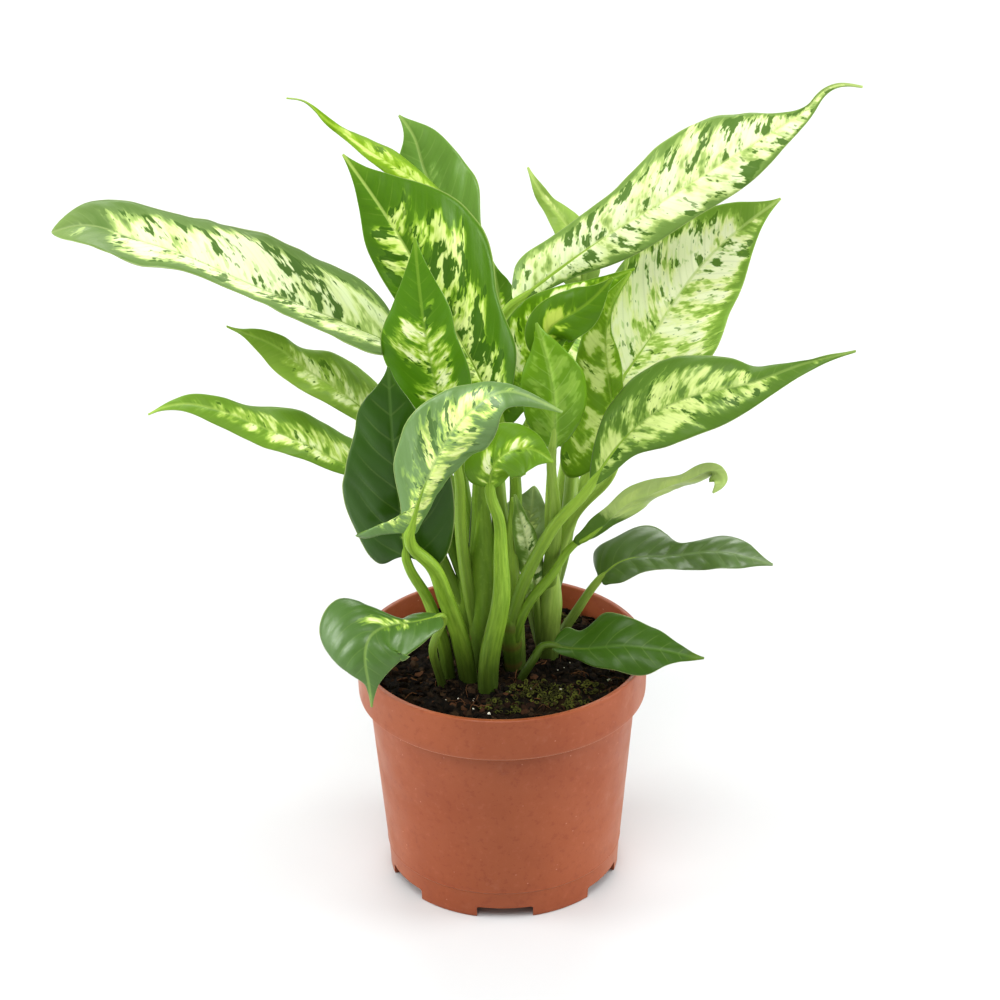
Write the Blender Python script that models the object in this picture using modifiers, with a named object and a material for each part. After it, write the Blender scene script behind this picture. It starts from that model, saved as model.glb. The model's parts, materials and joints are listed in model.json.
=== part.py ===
"""Potted dieffenbachia: a nursery pot with soil, rooted stems and one solid for each leaf blade.

Lengths in the tables are millimetres, measured from the pot's axis and from the surface that
the feet stand on. The plant leans to one side, so ORIGIN_SHIFT puts the whole part over the
middle of its own outline.
"""

import math

import bmesh
import bpy
import numpy as np

MM = 0.001
NAME = "potted_dieffenbachia"
ORIGIN_SHIFT = (14.0, -12.8)  # from the middle of the whole outline to the pot's axis

# Pot
POT_STEPS = 48
POT_HEIGHT = 102.0
RIM_RADIUS = 60.0
BAND_BOTTOM = 83.0  # the rim band stands out from the body down to here
BAND_BOTTOM_RADIUS = 59.5
BODY_TOP = 82.0
BODY_TOP_RADIUS = 55.2
BODY_BOTTOM_RADIUS = 48.0
FOOT_HEIGHT = 4.8
FLOOR_THICK = 2.2
WALL = 1.6
RIM_LIP = 2.4
FEET = 6
NOTCH_DEGREES = 28.0
DRAIN_HOLES = 6
DRAIN_RADIUS = 4.0
DRAIN_CIRCLE = 30.0

# Soil
SOIL_GAP = 0.3
SOIL_TOP = 94.0
SOIL_EDGE = 92.0
STEM_FOOT = 84.0  # the stems reach this deep into their holes
HOLE_GAP = 0.35

# Leaves and stems
BLADE_THICK = 0.8
BLADE_ROWS = 12
BLADE_COLUMNS = 6
BASE_HALF = 1.3
TIP_HALF = 0.5
STEM_GAP = 0.9  # between a petiole's end and its blade
STEM_STEP = 12.0  # length of one petiole facet
EDGE_AT = (0.06, 0.16, 0.3, 0.5, 0.7, 0.86)  # shares of a blade's length

LEAF_GREEN = (0.06, 0.17, 0.03)
LEAF_LIME = (0.22, 0.42, 0.06)
STEM_GREEN = (0.28, 0.45, 0.09)

PLAIN_EDGE = (1, 1, 1, 1, 1, 1)


def leaf(mid, face, half, stem, foot=2.6, tip=1.5, wide=0.42, fold=(12, 12), curl=(-18, -18),
         wave=(1.2, 2.5, 0.0), lobe=3.0, base=0.56, point=0.8, left=PLAIN_EDGE, right=PLAIN_EDGE,
         run=7.0, color=LEAF_GREEN):
    """One blade with its petiole.

    mid: the midrib's points from base to tip. face: where its upper side looks, from base to tip.
    half: half its width (or its left and right halves), widest at `wide` of its length.
    fold and curl: degrees by which its left and right half rise towards the upper side, at once
    and along the way.
    wave: height, count and phase of the margin's waves. lobe: how far the base (or its
    left and right lobe) reaches back.
    base and point: how tapered the base is, and how drawn-out the tip.
    left and right: each half's width against the plain outline, at EDGE_AT of the length.
    stem: the petiole's points below the blade, with its radius at the foot and at the tip.
    run: how far the petiole goes on in the midrib's line."""
    return dict(mid=mid, face=face, half=half, wide=wide, fold=fold, curl=curl, wave=wave,
                lobe=lobe, base=base, point=point, left=left, right=right, stem=stem, foot=foot,
                tip=tip, run=run, color=color)


# Each shoot is the petioles that grow from one cane. The cane's own points come first.
SHOOTS = {
    "stem_front_left": dict(cane=None, leaves={
        "leaf_front_arching": leaf(
            [(-36, -38, 176), (-31, -46, 197), (-26, -53, 213), (-19, -61, 231), (-8, -67, 247),
             (4, -72, 255), (14, -75, 253), (24, -78, 249)],
            [(0.1, -0.6, 0.8), (0.1, -0.6, 0.75), (0.2, -0.6, 0.8), (0.3, -0.5, 0.85)], 15,
            [(-12, -17, 86), (-14, -18, 101), (-17, -20, 121), (-21, -23, 135), (-24, -26, 147),
             (-28, -30, 159)],
            foot=3.7, tip=2.3, wide=0.36, fold=(8, -10), curl=(-10, -30), lobe=(20, 3), base=0.45,
            left=(1.9, 0.3, 1, 1.1, 0.8, 0.3), right=(0.3, 0.35, 0.45, 0.9, 1.1, 1.2), run=5),
    }),
    "stem_outer_left": dict(cane=None, leaves={
        "leaf_dark_left": leaf(
            [(-38, -24, 158), (-40, -28, 186), (-42, -29, 215), (-43, -25, 243)],
            [(-0.2, -0.95, 0.25), (-0.1, -0.95, 0.2)], 21,
            [(-21, -14, 86), (-22, -15, 99), (-23, -17, 112), (-25, -18, 121), (-28, -20, 131),
             (-31, -21, 141)],
            foot=2.9, tip=1.9, wide=0.36, fold=(5, 5), curl=(-15, -15), lobe=12,
            left=(0.8, 0.9, 1.1, 1, 1.1, 1.85), right=(0.8, 0.9, 1, 1, 1, 1.3), run=5),
    }),
    "stem_low_left": dict(cane=None, leaves={
        "leaf_low_left": leaf(
            [(-25, -30, 134), (-36, -42, 138), (-45, -52, 142), (-52, -59, 141), (-54, -63, 135),
             (-53, -65, 125), (-52, -64, 112)],
            [(-0.2, -0.4, 0.9), (-0.3, -0.7, 0.6), (-0.4, -0.9, 0.1)], 17,
            [(-23, -20, 87), (-25, -21, 100), (-28, -24, 112), (-28, -27, 121)],
            foot=1.8, tip=1.1, wide=0.45, fold=(5, 5), curl=(-25, -25), lobe=2,
            left=(0.6, 0.55, 0.65, 0.9, 1.15, 0.6), right=(0.75, 0.55, 0.3, 1.45, 1.35, 0.3), run=6),
    }),
    "stem_main": dict(cane=[(-9, -6, 84), (-9, -6, 96), (-10, -5, 116), (-12, -3, 132)],
                      foot=5.2, tip=4.2, leaves={
        "leaf_centre_left": leaf(
            [(-1, -4, 213), (-14, 2, 239), (-29, 8, 265), (-44, 14, 291), (-60, 20, 314)],
            [(0.15, -0.85, 0.5), (0.15, -0.85, 0.5)], (18, 22),
            [(-10, -5, 116), (-10, -4, 140), (-8, -3, 170), (-4, -4, 196)],
            foot=3.0, tip=1.9, wide=0.45, fold=(14, 14), curl=(-20, -20), lobe=4,
            left=(0.9, 0.8, 0.75, 0.75, 0.9, 0.95), right=(0.85, 1.05, 1, 1.4, 1.55, 1.5)),
        "leaf_small_upright": leaf(
            [(-21, -15, 212), (-26, -14, 236), (-30, -11, 265), (-32, -5, 289)],
            [(-0.1, -0.9, 0.4), (-0.1, -0.9, 0.4)], (15, 12),
            [(-10, -7, 112), (-14, -8, 140), (-16, -11, 170), (-17, -16, 196)],
            foot=2.8, tip=1.7, wide=0.40, fold=(12, 12), curl=(-18, -18), lobe=4,
            left=(1.3, 1, 1.1, 1.2, 0.95, 0.95), right=(1.3, 1.2, 1.15, 0.95, 1.05, 1.1)),
        "leaf_long_left": leaf(
            [(-40, 14, 233), (-60, 10, 245), (-82, 5, 258), (-103, 1, 270), (-124, -4, 283),
             (-143, -8, 292), (-160, -12, 299), (-172, -14, 297)],
            [(0.3, -0.35, 0.9), (0.3, -0.3, 0.92)], (18.5, 24),
            [(-12, -3, 126), (-16, 2, 150), (-22, 8, 180), (-30, 12, 212)],
            foot=3.0, tip=1.9, wide=0.52, point=0.2, fold=(38, 30), curl=(-8, -20), lobe=4,
            left=(1.6, 1.8, 1.15, 1.05, 1.1, 2.7), right=(1.8, 1.6, 1.2, 1.05, 0.85, 1.1)),
        "leaf_left_middle": leaf(
            [(-46, 6, 202), (-58, 5, 213), (-67, 4, 221), (-77, 3, 229), (-85, 2, 237),
             (-97, 0, 245), (-107, -3, 251)],
            [(0.3, -0.5, 0.8), (0.3, -0.4, 0.85)], 13,
            [(-12, -5, 126), (-20, 0, 150), (-30, 3, 172), (-39, 5, 190)],
            foot=2.6, tip=1.6, wide=0.42, lobe=3, left=(0.5, 0.5, 0.5, 0.75, 0.9, 0.95),
            right=(1.6, 1.6, 1.35, 0.9, 0.6, 0.8)),
        "leaf_left_lower": leaf(
            [(-46, 2, 181), (-66, -1, 190), (-75, -3, 197), (-85, -5, 203), (-96, -7, 209),
             (-106, -9, 215), (-116, -10, 219), (-125, -11, 221), (-133, -12, 220),
             (-139, -12, 217)],
            [(0.3, -0.4, 0.85), (0.1, -0.4, 0.9)], 11.5,
            [(-13, -5, 120), (-22, -3, 140), (-32, 0, 160), (-40, 2, 172)],
            foot=2.6, tip=1.6, wide=0.42, lobe=3, left=(0.4, 0.4, 0.45, 0.8, 0.75, 1.1),
            right=(1.6, 1.6, 1.35, 1.1, 0.7, 1.15)),
        "leaf_lime_back_left": leaf(
            [(-21, 40, 281), (-29, 42, 290), (-40, 44, 298), (-51, 46, 305), (-61, 48, 312),
             (-69, 49, 318), (-76, 51, 324), (-83, 52, 325)],
            [(0.4, -0.2, 0.9), (0.4, -0.2, 0.9)], 10,
            [(-11, -2, 130), (-8, 10, 170), (-7, 24, 220), (-12, 34, 258)],
            foot=2.8, tip=1.6, wide=0.45, color=LEAF_LIME, left=(1.2, 0.9, 0.5, 0.6, 0.1, 0.2),
            right=(1.5, 1.1, 0.9, 1, 0.25, 0.15)),
        "leaf_dark_back_left": leaf(
            [(-14, 56, 234), (-15, 59, 252), (-21, 63, 268), (-26, 66, 279), (-30, 69, 289),
             (-33, 72, 299), (-39, 74, 308)],
            [(0.1, -0.85, 0.5), (0.1, -0.8, 0.6)], 14,
            [(-10, -1, 126), (-7, 14, 160), (-8, 34, 195), (-11, 48, 218)],
            foot=2.8, tip=1.7, wide=0.5, left=(0.8, 0.8, 0.8, 0.8, 0.9, 1.05),
            right=(1, 1, 0.85, 1.25, 1.35, 1.75)),
        "leaf_back_left": leaf(
            [(-18, 42, 182), (-25, 58, 198), (-34, 74, 207), (-45, 90, 204)],
            [(-0.2, 0.3, 0.9), (-0.2, 0.5, 0.8)], 17,
            [(-11, -1, 122), (-12, 12, 140), (-14, 26, 158), (-16, 36, 173)],
            foot=2.6, tip=1.7),
        "leaf_back_low": leaf(
            [(-19, 32, 135), (-25, 42, 149), (-34, 54, 159), (-44, 64, 166)],
            [(-0.2, 0.2, 0.95), (-0.2, 0.5, 0.8)], 13,
            [(-11, -2, 106), (-13, 9, 116), (-16, 20, 125)],
            foot=2.4, tip=1.5),
    }),
    "stem_centre": dict(cane=None, leaves={
        "leaf_centre_small": leaf(
            [(-4, -26, 190), (0, -32, 206), (12, -36, 212), (21, -36, 206)],
            [(0.0, -0.8, 0.6), (0.1, -0.7, 0.7)], 12,
            [(-6, -24, 88), (-6, -24, 104), (-5, -23, 115), (-2, -22, 127), (0, -22, 139),
             (0, -22, 152), (0, -22, 166), (-1, -23, 178)],
            foot=4.2, tip=2.2, wide=0.42, lobe=1, color=LEAF_LIME,
            right=(0.6, 0.65, 0.7, 0.8, 1.2, 2)),
    }),
    "stem_right": dict(cane=[(5, -9, 84), (5, -9, 96), (4, -12, 112), (4, -13, 124)],
                       foot=4.6, tip=3.8, leaves={
        "leaf_right_arching": leaf(
            [(37, -14, 185), (56, -15, 212), (79, -16, 225), (99, -17, 230), (118, -18, 238),
             (140, -20, 245)],
            [(-0.3, -0.7, 0.7), (-0.1, -0.6, 0.8)], (12, 15),
            [(4, -13, 118), (9, -14, 140), (18, -15, 160), (27, -14, 173)],
            foot=2.8, tip=2.0, wide=0.45, fold=(14, 14), curl=(-20, -20), lobe=1, point=0.9,
            base=0.85, left=(1.2, 1.5, 1.7, 1.4, 0.75, 0.1), right=(0.7, 0.6, 1, 1, 0.7, 0.9)),
        "leaf_right_twisted": leaf(
            [(31, -8, 155), (39, -9, 162), (44, -10, 168), (51, -11, 175), (59, -12, 179),
             (69, -13, 184), (76, -14, 187), (81, -15, 190), (86, -16, 191), (89, -17, 187),
             (85, -18, 182)],
            [(-0.2, 0.8, 0.5), (-0.2, 0.8, 0.5)], 9,
            [(5, -13, 112), (10, -15, 130), (16, -14, 138), (24, -11, 146)],
            foot=2.4, tip=1.5, wide=0.42, fold=(10, 10), curl=(10, 10), lobe=2, color=LEAF_LIME,
            point=0.3, left=(2.2, 1.5, 1.9, 1.9, 1.15, 1.9), right=(0.4, 0.6, 0.3, 0.7, 0.4, 0.6)),
        "leaf_low_right": leaf(
            [(21, -15, 111), (30, -18, 111), (39, -21, 113), (48, -23, 115), (58, -25, 115),
             (67, -26, 114), (76, -27, 112), (82, -27, 111)],
            [(-0.1, -0.6, 0.8), (0.0, -0.6, 0.8)], 12,
            [(6, -13, 86), (7, -16, 95), (11, -17, 103), (16, -16, 109)],
            foot=1.8, tip=1.5, wide=0.42, fold=(8, 8), curl=(-14, -14), lobe=1,
            left=(1.2, 0.75, 1.3, 1, 0.95, 0.85), right=(0.3, 0.3, 0.65, 0.9, 1.05, 0.8)),
        "leaf_large_right": leaf(
            [(7, 39, 240), (37, 39, 264), (65, 39, 283), (93, 39, 302), (114, 39, 316),
             (124, 39, 324), (128, 39, 329), (135, 39, 333), (145, 39, 332)],
            [(-0.25, -0.75, 0.6), (-0.3, -0.65, 0.7)], 20,
            [(4, -9, 122), (-1, 12, 160), (-3, 28, 196), (-1, 36, 222)],
            foot=3.2, tip=2.1, wide=0.56, point=1.4, fold=(12, 4), curl=(-14, -20), lobe=9,
            left=(1.9, 1.15, 0.85, 1.05, 0.85, 0), right=(0.3, 0.4, 0.7, 0.6, 0.6, 0.45)),
        "leaf_behind_centre": leaf(
            [(1, 50, 216), (1, 54, 230), (-2, 58, 250)],
            [(0.1, -0.8, 0.5), (0.1, -0.8, 0.5)], 7,
            [(4, -8, 120), (1, 14, 150), (0, 34, 185), (1, 45, 206)],
            foot=2.4, tip=1.4),
        "leaf_front_of_large": leaf(
            [(13, 22, 201), (13, 23, 224), (27, 24, 246), (55, 25, 261)],
            [(0.0, -0.9, 0.4), (0.0, -0.85, 0.5)], (15, 13),
            [(4, -8, 120), (5, 2, 150), (6, 14, 178), (8, 19, 191)],
            foot=2.6, tip=1.7, wide=0.42, lobe=2, color=LEAF_LIME, left=(1, 1, 0.95, 0.8, 0.4, 0.3)),
    }),
    "stem_back_right": dict(cane=[(18, 4, 84), (18, 4, 96), (18, 3, 108), (19, 2, 118)],
                            foot=4.4, tip=3.6, leaves={
        "leaf_upright_right": leaf(
            [(47, 8, 183), (46, 9, 206), (43, 9, 235), (46, 9, 254), (53, 9, 267)],
            [(-0.6, -0.75, 0.3), (-0.5, -0.75, 0.4)], (21, 12),
            [(18, 2, 112), (20, 2, 128), (24, 5, 146), (34, 7, 166)],
            foot=3.2, tip=1.8, wide=0.36, fold=(30, 30), curl=(-10, -10), lobe=2,
            left=(1.3, 1.2, 0.95, 0.6, 0.6, 0.6), right=(0.4, 0.4, 0.75, 0.7, 0.3, 0.2), run=2.5),
        "leaf_turned_centre": leaf(
            [(21, -14, 201), (22, -20, 220), (20, -22, 240), (15, -18, 258)],
            [(0.0, 0.9, 0.3), (0.0, 0.9, -0.1)], 13,
            [(18, 3, 110), (19, 0, 130), (21, -6, 150), (22, -10, 175)],
            foot=2.8, tip=1.9, wide=0.45, fold=(10, 10), curl=(15, 15), lobe=1, color=LEAF_LIME),
        "leaf_inner_centre": leaf(
            [(19, -9, 239), (20, -9, 250), (32, -8, 259), (45, -7, 272)],
            [(0.1, -0.8, 0.5), (0.1, -0.8, 0.5)], 9,
            [(18, 3, 112), (20, 0, 134), (20, -5, 165), (21, -9, 200)],
            foot=2.2, tip=1.4, wide=0.4, lobe=0, color=LEAF_LIME),
        "leaf_back_right": leaf(
            [(49, 50, 197), (66, 54, 222), (85, 60, 248), (116, 68, 272)],
            [(0.1, -0.85, 0.5), (0.1, -0.8, 0.6)], 20,
            [(19, 4, 112), (24, 18, 135), (34, 34, 158), (43, 45, 180)],
            foot=3.0, tip=1.9, wide=0.45, fold=(10, 10), curl=(-15, -15), lobe=4,
            left=(1, 0.9, 0.8, 0.8, 0.9, 1.45), right=(1.3, 1.3, 1.3, 1.05, 1, 0.9)),
        "leaf_lime_back": leaf(
            [(35, 64, 236), (32, 67, 255), (26, 71, 264), (19, 75, 272), (13, 80, 282)],
            [(0.1, -0.85, 0.5), (0.1, -0.8, 0.6)], 11,
            [(18, 4, 114), (27, 18, 145), (32, 42, 180), (36, 56, 200)],
            foot=2.8, tip=1.6, wide=0.42, color=LEAF_LIME, left=(1, 0.9, 0.7, 0.5, 0.4, 0.55),
            right=(0.8, 0.8, 0.5, 0.55, 0.25, 0.4)),
        "leaf_right_green": leaf(
            [(41, 12, 127), (49, 11, 135), (59, 10, 138), (68, 8, 139), (79, 5, 142), (90, 2, 144),
             (99, 0, 143), (111, -2, 140)],
            [(-0.2, -0.5, 0.85), (0.0, -0.5, 0.85)], 11,
            [(19, 5, 90), (22, 8, 98), (28, 10, 108), (34, 11, 117)],
            foot=2.4, tip=1.6, wide=0.38, lobe=3, left=(1.7, 1.25, 1.4, 0.4, 1.05, 2.1),
            right=(0.6, 0.8, 0.6, 0.55, 1, 1.7)),
        "leaf_back_centre": leaf(
            [(28, 44, 172), (32, 62, 190), (36, 82, 200), (42, 102, 198)],
            [(0.1, 0.3, 0.9), (0.2, 0.5, 0.8)], 18,
            [(18, 5, 110), (20, 16, 128), (23, 28, 146), (26, 38, 162)],
            foot=2.8, tip=1.7),
        "leaf_young_front": leaf(
            [(14, -3, 131), (12, -4, 144), (9, -4, 159), (6, -4, 175)],
            [(0.1, -0.9, 0.3), (0.1, -0.9, 0.3)], 4.5,
            [(17, 2, 96), (15, -1, 110)],
            foot=1.8, tip=1.2, wide=0.4, fold=(30, 30), curl=(-10, -10), lobe=0, point=0.6,
            color=LEAF_LIME),
        "leaf_young_back": leaf(
            [(10, 27, 127), (11, 27, 141), (13, 26, 153), (14, 24, 164)],
            [(0.1, -0.9, 0.3), (0.1, -0.9, 0.3)], (12, 7),
            [(17, 5, 96), (13, 14, 108), (11, 20, 120)],
            foot=2.0, tip=1.4, wide=0.45, lobe=1, point=0.4),
    }),
}


# ---------------------------------------------------------------- curves and blade surfaces

def spline_through(points, shares):
    """A natural cubic spline through the points, read at these shares of its length."""
    p = np.array(points, float)
    d = np.concatenate([[0.0], np.cumsum(np.linalg.norm(np.diff(p, axis=0), axis=1))])
    h, n = np.diff(d), len(p)
    a, b = np.eye(n), np.zeros((n, 3))
    for i in range(1, n - 1):
        a[i, i - 1:i + 2] = h[i - 1], 2 * (h[i - 1] + h[i]), h[i]
        b[i] = 6 * ((p[i + 1] - p[i]) / h[i] - (p[i] - p[i - 1]) / h[i - 1])
    m = np.linalg.solve(a, b)

    def read(s):
        i = np.clip(np.searchsorted(d, s, "right") - 1, 0, n - 2)
        x, r, w = (s - d[i])[:, None], (d[i + 1] - s)[:, None], h[i][:, None]
        bend = (m[i] * r ** 3 + m[i + 1] * x ** 3) / (6 * w)
        return bend + (p[i] / w - m[i] * w / 6) * r + (p[i + 1] / w - m[i + 1] * w / 6) * x

    fine = np.linspace(0, d[-1], 240)
    run = np.cumsum(np.concatenate([[0.0], np.linalg.norm(np.diff(read(fine), axis=0), axis=1)]))
    return read(np.interp(np.asarray(shares) * run[-1], run, fine))


def unit(v):
    return v / np.linalg.norm(v, axis=-1, keepdims=True)


def blade_frame(row, u):
    """The midrib's points, directions, upper-side normals and right-hand sides at shares u."""
    mid = spline_through(row["mid"], u)
    step = 0.01
    along = unit(spline_through(row["mid"], np.clip(u + step, 0, 1))
                 - spline_through(row["mid"], np.clip(u - step, 0, 1)))
    faces = np.array(row["face"], float)
    at = np.linspace(0, 1, len(faces))
    face = np.stack([np.interp(u, at, faces[:, k]) for k in range(3)], axis=1)
    up = unit(face - np.sum(face * along, axis=1, keepdims=True) * along)
    return mid, along, up, np.cross(along, up)


def fullness(row, u):
    """The blade's width as a share of its widest: a round base and a drawn-out tip."""
    power = math.log(0.5) / math.log(row["wide"])
    tip = np.clip((u - 0.4) / 0.6, 0, 1)
    sharp = row["base"] + row["point"] * tip * tip * (3 - 2 * tip)
    return np.sin(math.pi * np.clip(u, 0, 1) ** power).clip(0, 1) ** sharp


def flowing(u, values):
    """A smooth curve through the values at EDGE_AT."""
    knots, y = np.array(EDGE_AT), np.array(values, float)
    slope = np.gradient(y, knots)
    x = np.clip(u, knots[0], knots[-1])
    i = np.clip(np.searchsorted(knots, x, "right") - 1, 0, len(knots) - 2)
    h = knots[i + 1] - knots[i]
    t = (x - knots[i]) / h
    return ((2 * t ** 3 - 3 * t ** 2 + 1) * y[i] + (t ** 3 - 2 * t ** 2 + t) * h * slope[i]
            + (3 * t ** 2 - 2 * t ** 3) * y[i + 1] + (t ** 3 - t ** 2) * h * slope[i + 1])


def blade_surface(row, u, v):
    """Points of the blade's middle surface, for shares u along it and v across it, -1 to 1."""
    mid, along, up, side = blade_frame(row, u)
    full = fullness(row, u)[:, None]
    half = np.broadcast_to(row["half"], 2)
    edge = np.where(v < 0, half[0] * flowing(u, row["left"])[:, None],
                    half[1] * flowing(u, row["right"])[:, None])
    width = edge * full + (BASE_HALF * (1 - u) + TIP_HALF * u)[:, None]
    out = np.zeros((len(u), len(v), 3))
    a = np.abs(v)[None, :]
    left = (v < 0)[None, :]
    ease = (1 - 0.35 * u)[:, None]
    fold = np.radians(np.where(left, row["fold"][0], row["fold"][1])) * ease
    curl = np.radians(np.where(left, row["curl"][0], row["curl"][1])) * 2 * ease
    curl = np.where(np.abs(curl) < 1e-3, 1e-3, curl)
    across = (np.sin(fold + curl * a) - np.sin(fold)) / curl
    rise = (np.cos(fold) - np.cos(fold + curl * a)) / curl
    height, count, phase = row["wave"]
    turn = 2 * math.pi * (count * u[:, None] + phase) + np.where(left, 0.0, 1.9)
    ripple = height * a ** 2 * np.sin(turn) * np.sin(math.pi * np.clip(u, 0.02, 1))[:, None] ** 0.5
    lobe = np.broadcast_to(row["lobe"], 2)
    near_base = np.clip(1 - u / 0.35, 0, 1)[:, None]
    back = np.where(left, lobe[0], lobe[1]) * 2.2 * a ** 1.6 * full ** 1.6 * near_base
    out += mid[:, None, :]
    out += side[:, None, :] * (np.sign(v)[None, :] * width * across)[:, :, None]
    out += up[:, None, :] * (width * rise + ripple)[:, :, None]
    out -= along[:, None, :] * back[:, :, None]
    return out


def even_ends(count):
    """Shares from 0 to 1, closer together at both ends."""
    return (1 - np.cos(np.linspace(0, math.pi, count + 1))) / 2


# ---------------------------------------------------------------- Blender helpers

def clear_scene():
    for thing in list(bpy.data.objects):
        bpy.data.objects.remove(thing, do_unlink=True)


def new_collection(name, hidden=False):
    made = bpy.data.collections.new(name)
    bpy.context.scene.collection.children.link(made)
    made.hide_render = hidden
    return made


def material(name, color, roughness):
    made = bpy.data.materials.get(name) or bpy.data.materials.new(name)
    made.use_nodes = True
    shader = made.node_tree.nodes["Principled BSDF"]
    shader.inputs["Base Color"].default_value = (*color, 1.0)
    shader.inputs["Roughness"].default_value = roughness
    shader.inputs["Metallic"].default_value = 0.0
    made.diffuse_color = (*color, 1.0)
    return made


def add_object(name, mesh, collection, parent=None, finish=None):
    made = bpy.data.objects.new(name, mesh)
    collection.objects.link(made)
    made.parent = parent
    if finish:
        mesh.materials.append(finish)
    return made


def as_mesh(thing):
    """The object's mesh with its modifiers applied."""
    bpy.context.view_layer.update()
    graph = bpy.context.evaluated_depsgraph_get()
    return bpy.data.meshes.new_from_object(thing.evaluated_get(graph), depsgraph=graph)


def smooth(mesh, angle=40):
    mesh.shade_smooth()
    mesh.set_sharp_from_angle(angle=math.radians(angle))


def apply_boolean(target, operation, other=None, group=None):
    """Applies one Boolean to the target and gives it the finished mesh."""
    cut = target.modifiers.new(operation.lower(), "BOOLEAN")
    cut.operation = operation
    cut.solver = "EXACT"
    if group:
        cut.operand_type = "COLLECTION"
        cut.collection = group
    else:
        cut.object = other
    mesh = as_mesh(target)
    target.modifiers.remove(cut)
    old, target.data = target.data, mesh
    bpy.data.meshes.remove(old)


def turned(name, profile, collection, steps):
    """A solid turned about the z axis from a profile that starts and ends on the axis."""
    mesh = bpy.data.meshes.new(name)
    shape = bmesh.new()
    corners = [shape.verts.new((r * MM, 0, z * MM)) for r, z in profile]
    for a, b in zip(corners, corners[1:]):
        shape.edges.new((a, b))
    shape.to_mesh(mesh)
    shape.free()
    made = add_object(name, mesh, collection)
    screw = made.modifiers.new("turn", "SCREW")
    screw.axis = "Z"
    screw.angle = 2 * math.pi
    screw.steps = screw.render_steps = steps
    screw.use_merge_vertices = True
    screw.merge_threshold = 0.00005
    screw.use_normal_calculate = True
    finished = as_mesh(made)
    made.modifiers.remove(screw)
    made.data = finished
    bpy.data.meshes.remove(mesh)
    return made


def closed_outwards(mesh):
    shape = bmesh.new()
    shape.from_mesh(mesh)
    bmesh.ops.remove_doubles(shape, verts=shape.verts, dist=0.00001)
    bmesh.ops.recalc_face_normals(shape, faces=shape.faces)
    shape.to_mesh(mesh)
    shape.free()


def tube(name, points, radii, collection, resolution):
    """A tapered round tube along the points, as a mesh with closed ends."""
    curve = bpy.data.curves.new(name, "CURVE")
    curve.dimensions = "3D"
    curve.bevel_depth = MM
    curve.bevel_resolution = resolution
    curve.use_fill_caps = True
    line = curve.splines.new("POLY")
    line.points.add(len(points) - 1)
    for knot, point, radius in zip(line.points, points, radii):
        knot.co = (*(np.asarray(point) * MM), 1.0)
        knot.radius = float(radius)
    rough = add_object(name + "_curve", curve, collection)
    mesh = as_mesh(rough)
    bpy.data.objects.remove(rough)
    closed_outwards(mesh)
    return add_object(name, mesh, collection)


# ---------------------------------------------------------------- pot and soil

def pot_profile():
    """From the floor's upper face out, up the inside, over the lip and down the outside."""
    r0, r1, t = BODY_BOTTOM_RADIUS, BODY_TOP_RADIUS, WALL
    floor = FOOT_HEIGHT + FLOOR_THICK
    inside = [(0, floor), (r0 - t - 2.0, floor), (r0 - t, floor + 2.0), (r1 - t, BODY_TOP + 1.0),
              (RIM_RADIUS - RIM_LIP - 0.6, BAND_BOTTOM + 2.4), (RIM_RADIUS - RIM_LIP, POT_HEIGHT - 0.5),
              (RIM_RADIUS - RIM_LIP + 0.5, POT_HEIGHT)]
    outside = [(RIM_RADIUS - 0.6, POT_HEIGHT), (RIM_RADIUS, POT_HEIGHT - 0.7),
               (BAND_BOTTOM_RADIUS, BAND_BOTTOM + 0.8), (BAND_BOTTOM_RADIUS - 0.7, BAND_BOTTOM),
               (r1 + 0.5, BODY_TOP), (r1, BODY_TOP - 1.2),
               (r0 + 0.6, FOOT_HEIGHT + 4.0), (r0, 0), (r0 - 3.0, 0), (r0 - 3.4, FOOT_HEIGHT),
               (0, FOOT_HEIGHT)]
    return inside + outside


def notch_cutter(index, cutters):
    """A wedge across the foot ring; the one in front is centred on -y."""
    angle = math.radians(-90 + index * 360 / FEET)
    mesh = bpy.data.meshes.new(f"notch_{index + 1}")
    shape = bmesh.new()
    bmesh.ops.create_cube(shape, size=1.0)
    width = 2 * BODY_BOTTOM_RADIUS * math.sin(math.radians(NOTCH_DEGREES / 2))
    bmesh.ops.scale(shape, vec=(12 * MM, width * MM, (FOOT_HEIGHT + 0.02) * 2 * MM), verts=shape.verts)
    shape.to_mesh(mesh)
    shape.free()
    made = add_object(mesh.name, mesh, cutters)
    made.location = (46.4 * math.cos(angle) * MM, 46.4 * math.sin(angle) * MM, 0)
    made.rotation_euler[2] = angle
    return made


def drain_cutter(index, cutters):
    angle = math.radians(-60 + index * 360 / DRAIN_HOLES)
    bpy.ops.mesh.primitive_cylinder_add(vertices=12, radius=DRAIN_RADIUS * MM, depth=10 * MM)
    made = bpy.context.object
    made.name = f"drain_{index + 1}"
    for group in list(made.users_collection):
        group.objects.unlink(made)
    cutters.objects.link(made)
    made.location = (DRAIN_CIRCLE * math.cos(angle) * MM, DRAIN_CIRCLE * math.sin(angle) * MM,
                     (FOOT_HEIGHT + 1) * MM)
    return made


def hide_cutter(thing):
    thing.hide_render = True
    thing.display_type = "WIRE"


def build_pot(parts, cutters, parent):
    pot = turned("pot", pot_profile(), parts, POT_STEPS)
    closed_outwards(pot.data)
    group = new_collection("pot_cutters", hidden=True)
    for i in range(FEET):
        hide_cutter(notch_cutter(i, group))
    for i in range(DRAIN_HOLES):
        hide_cutter(drain_cutter(i, group))
    apply_boolean(pot, "DIFFERENCE", group=group)
    for thing in list(group.objects):
        bpy.data.objects.remove(thing)
    bpy.data.collections.remove(group)
    smooth(pot.data, 30)
    pot.data.materials.append(material("terracotta_plastic", (0.42, 0.13, 0.06), 0.45))
    pot.parent = parent
    return pot


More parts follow.
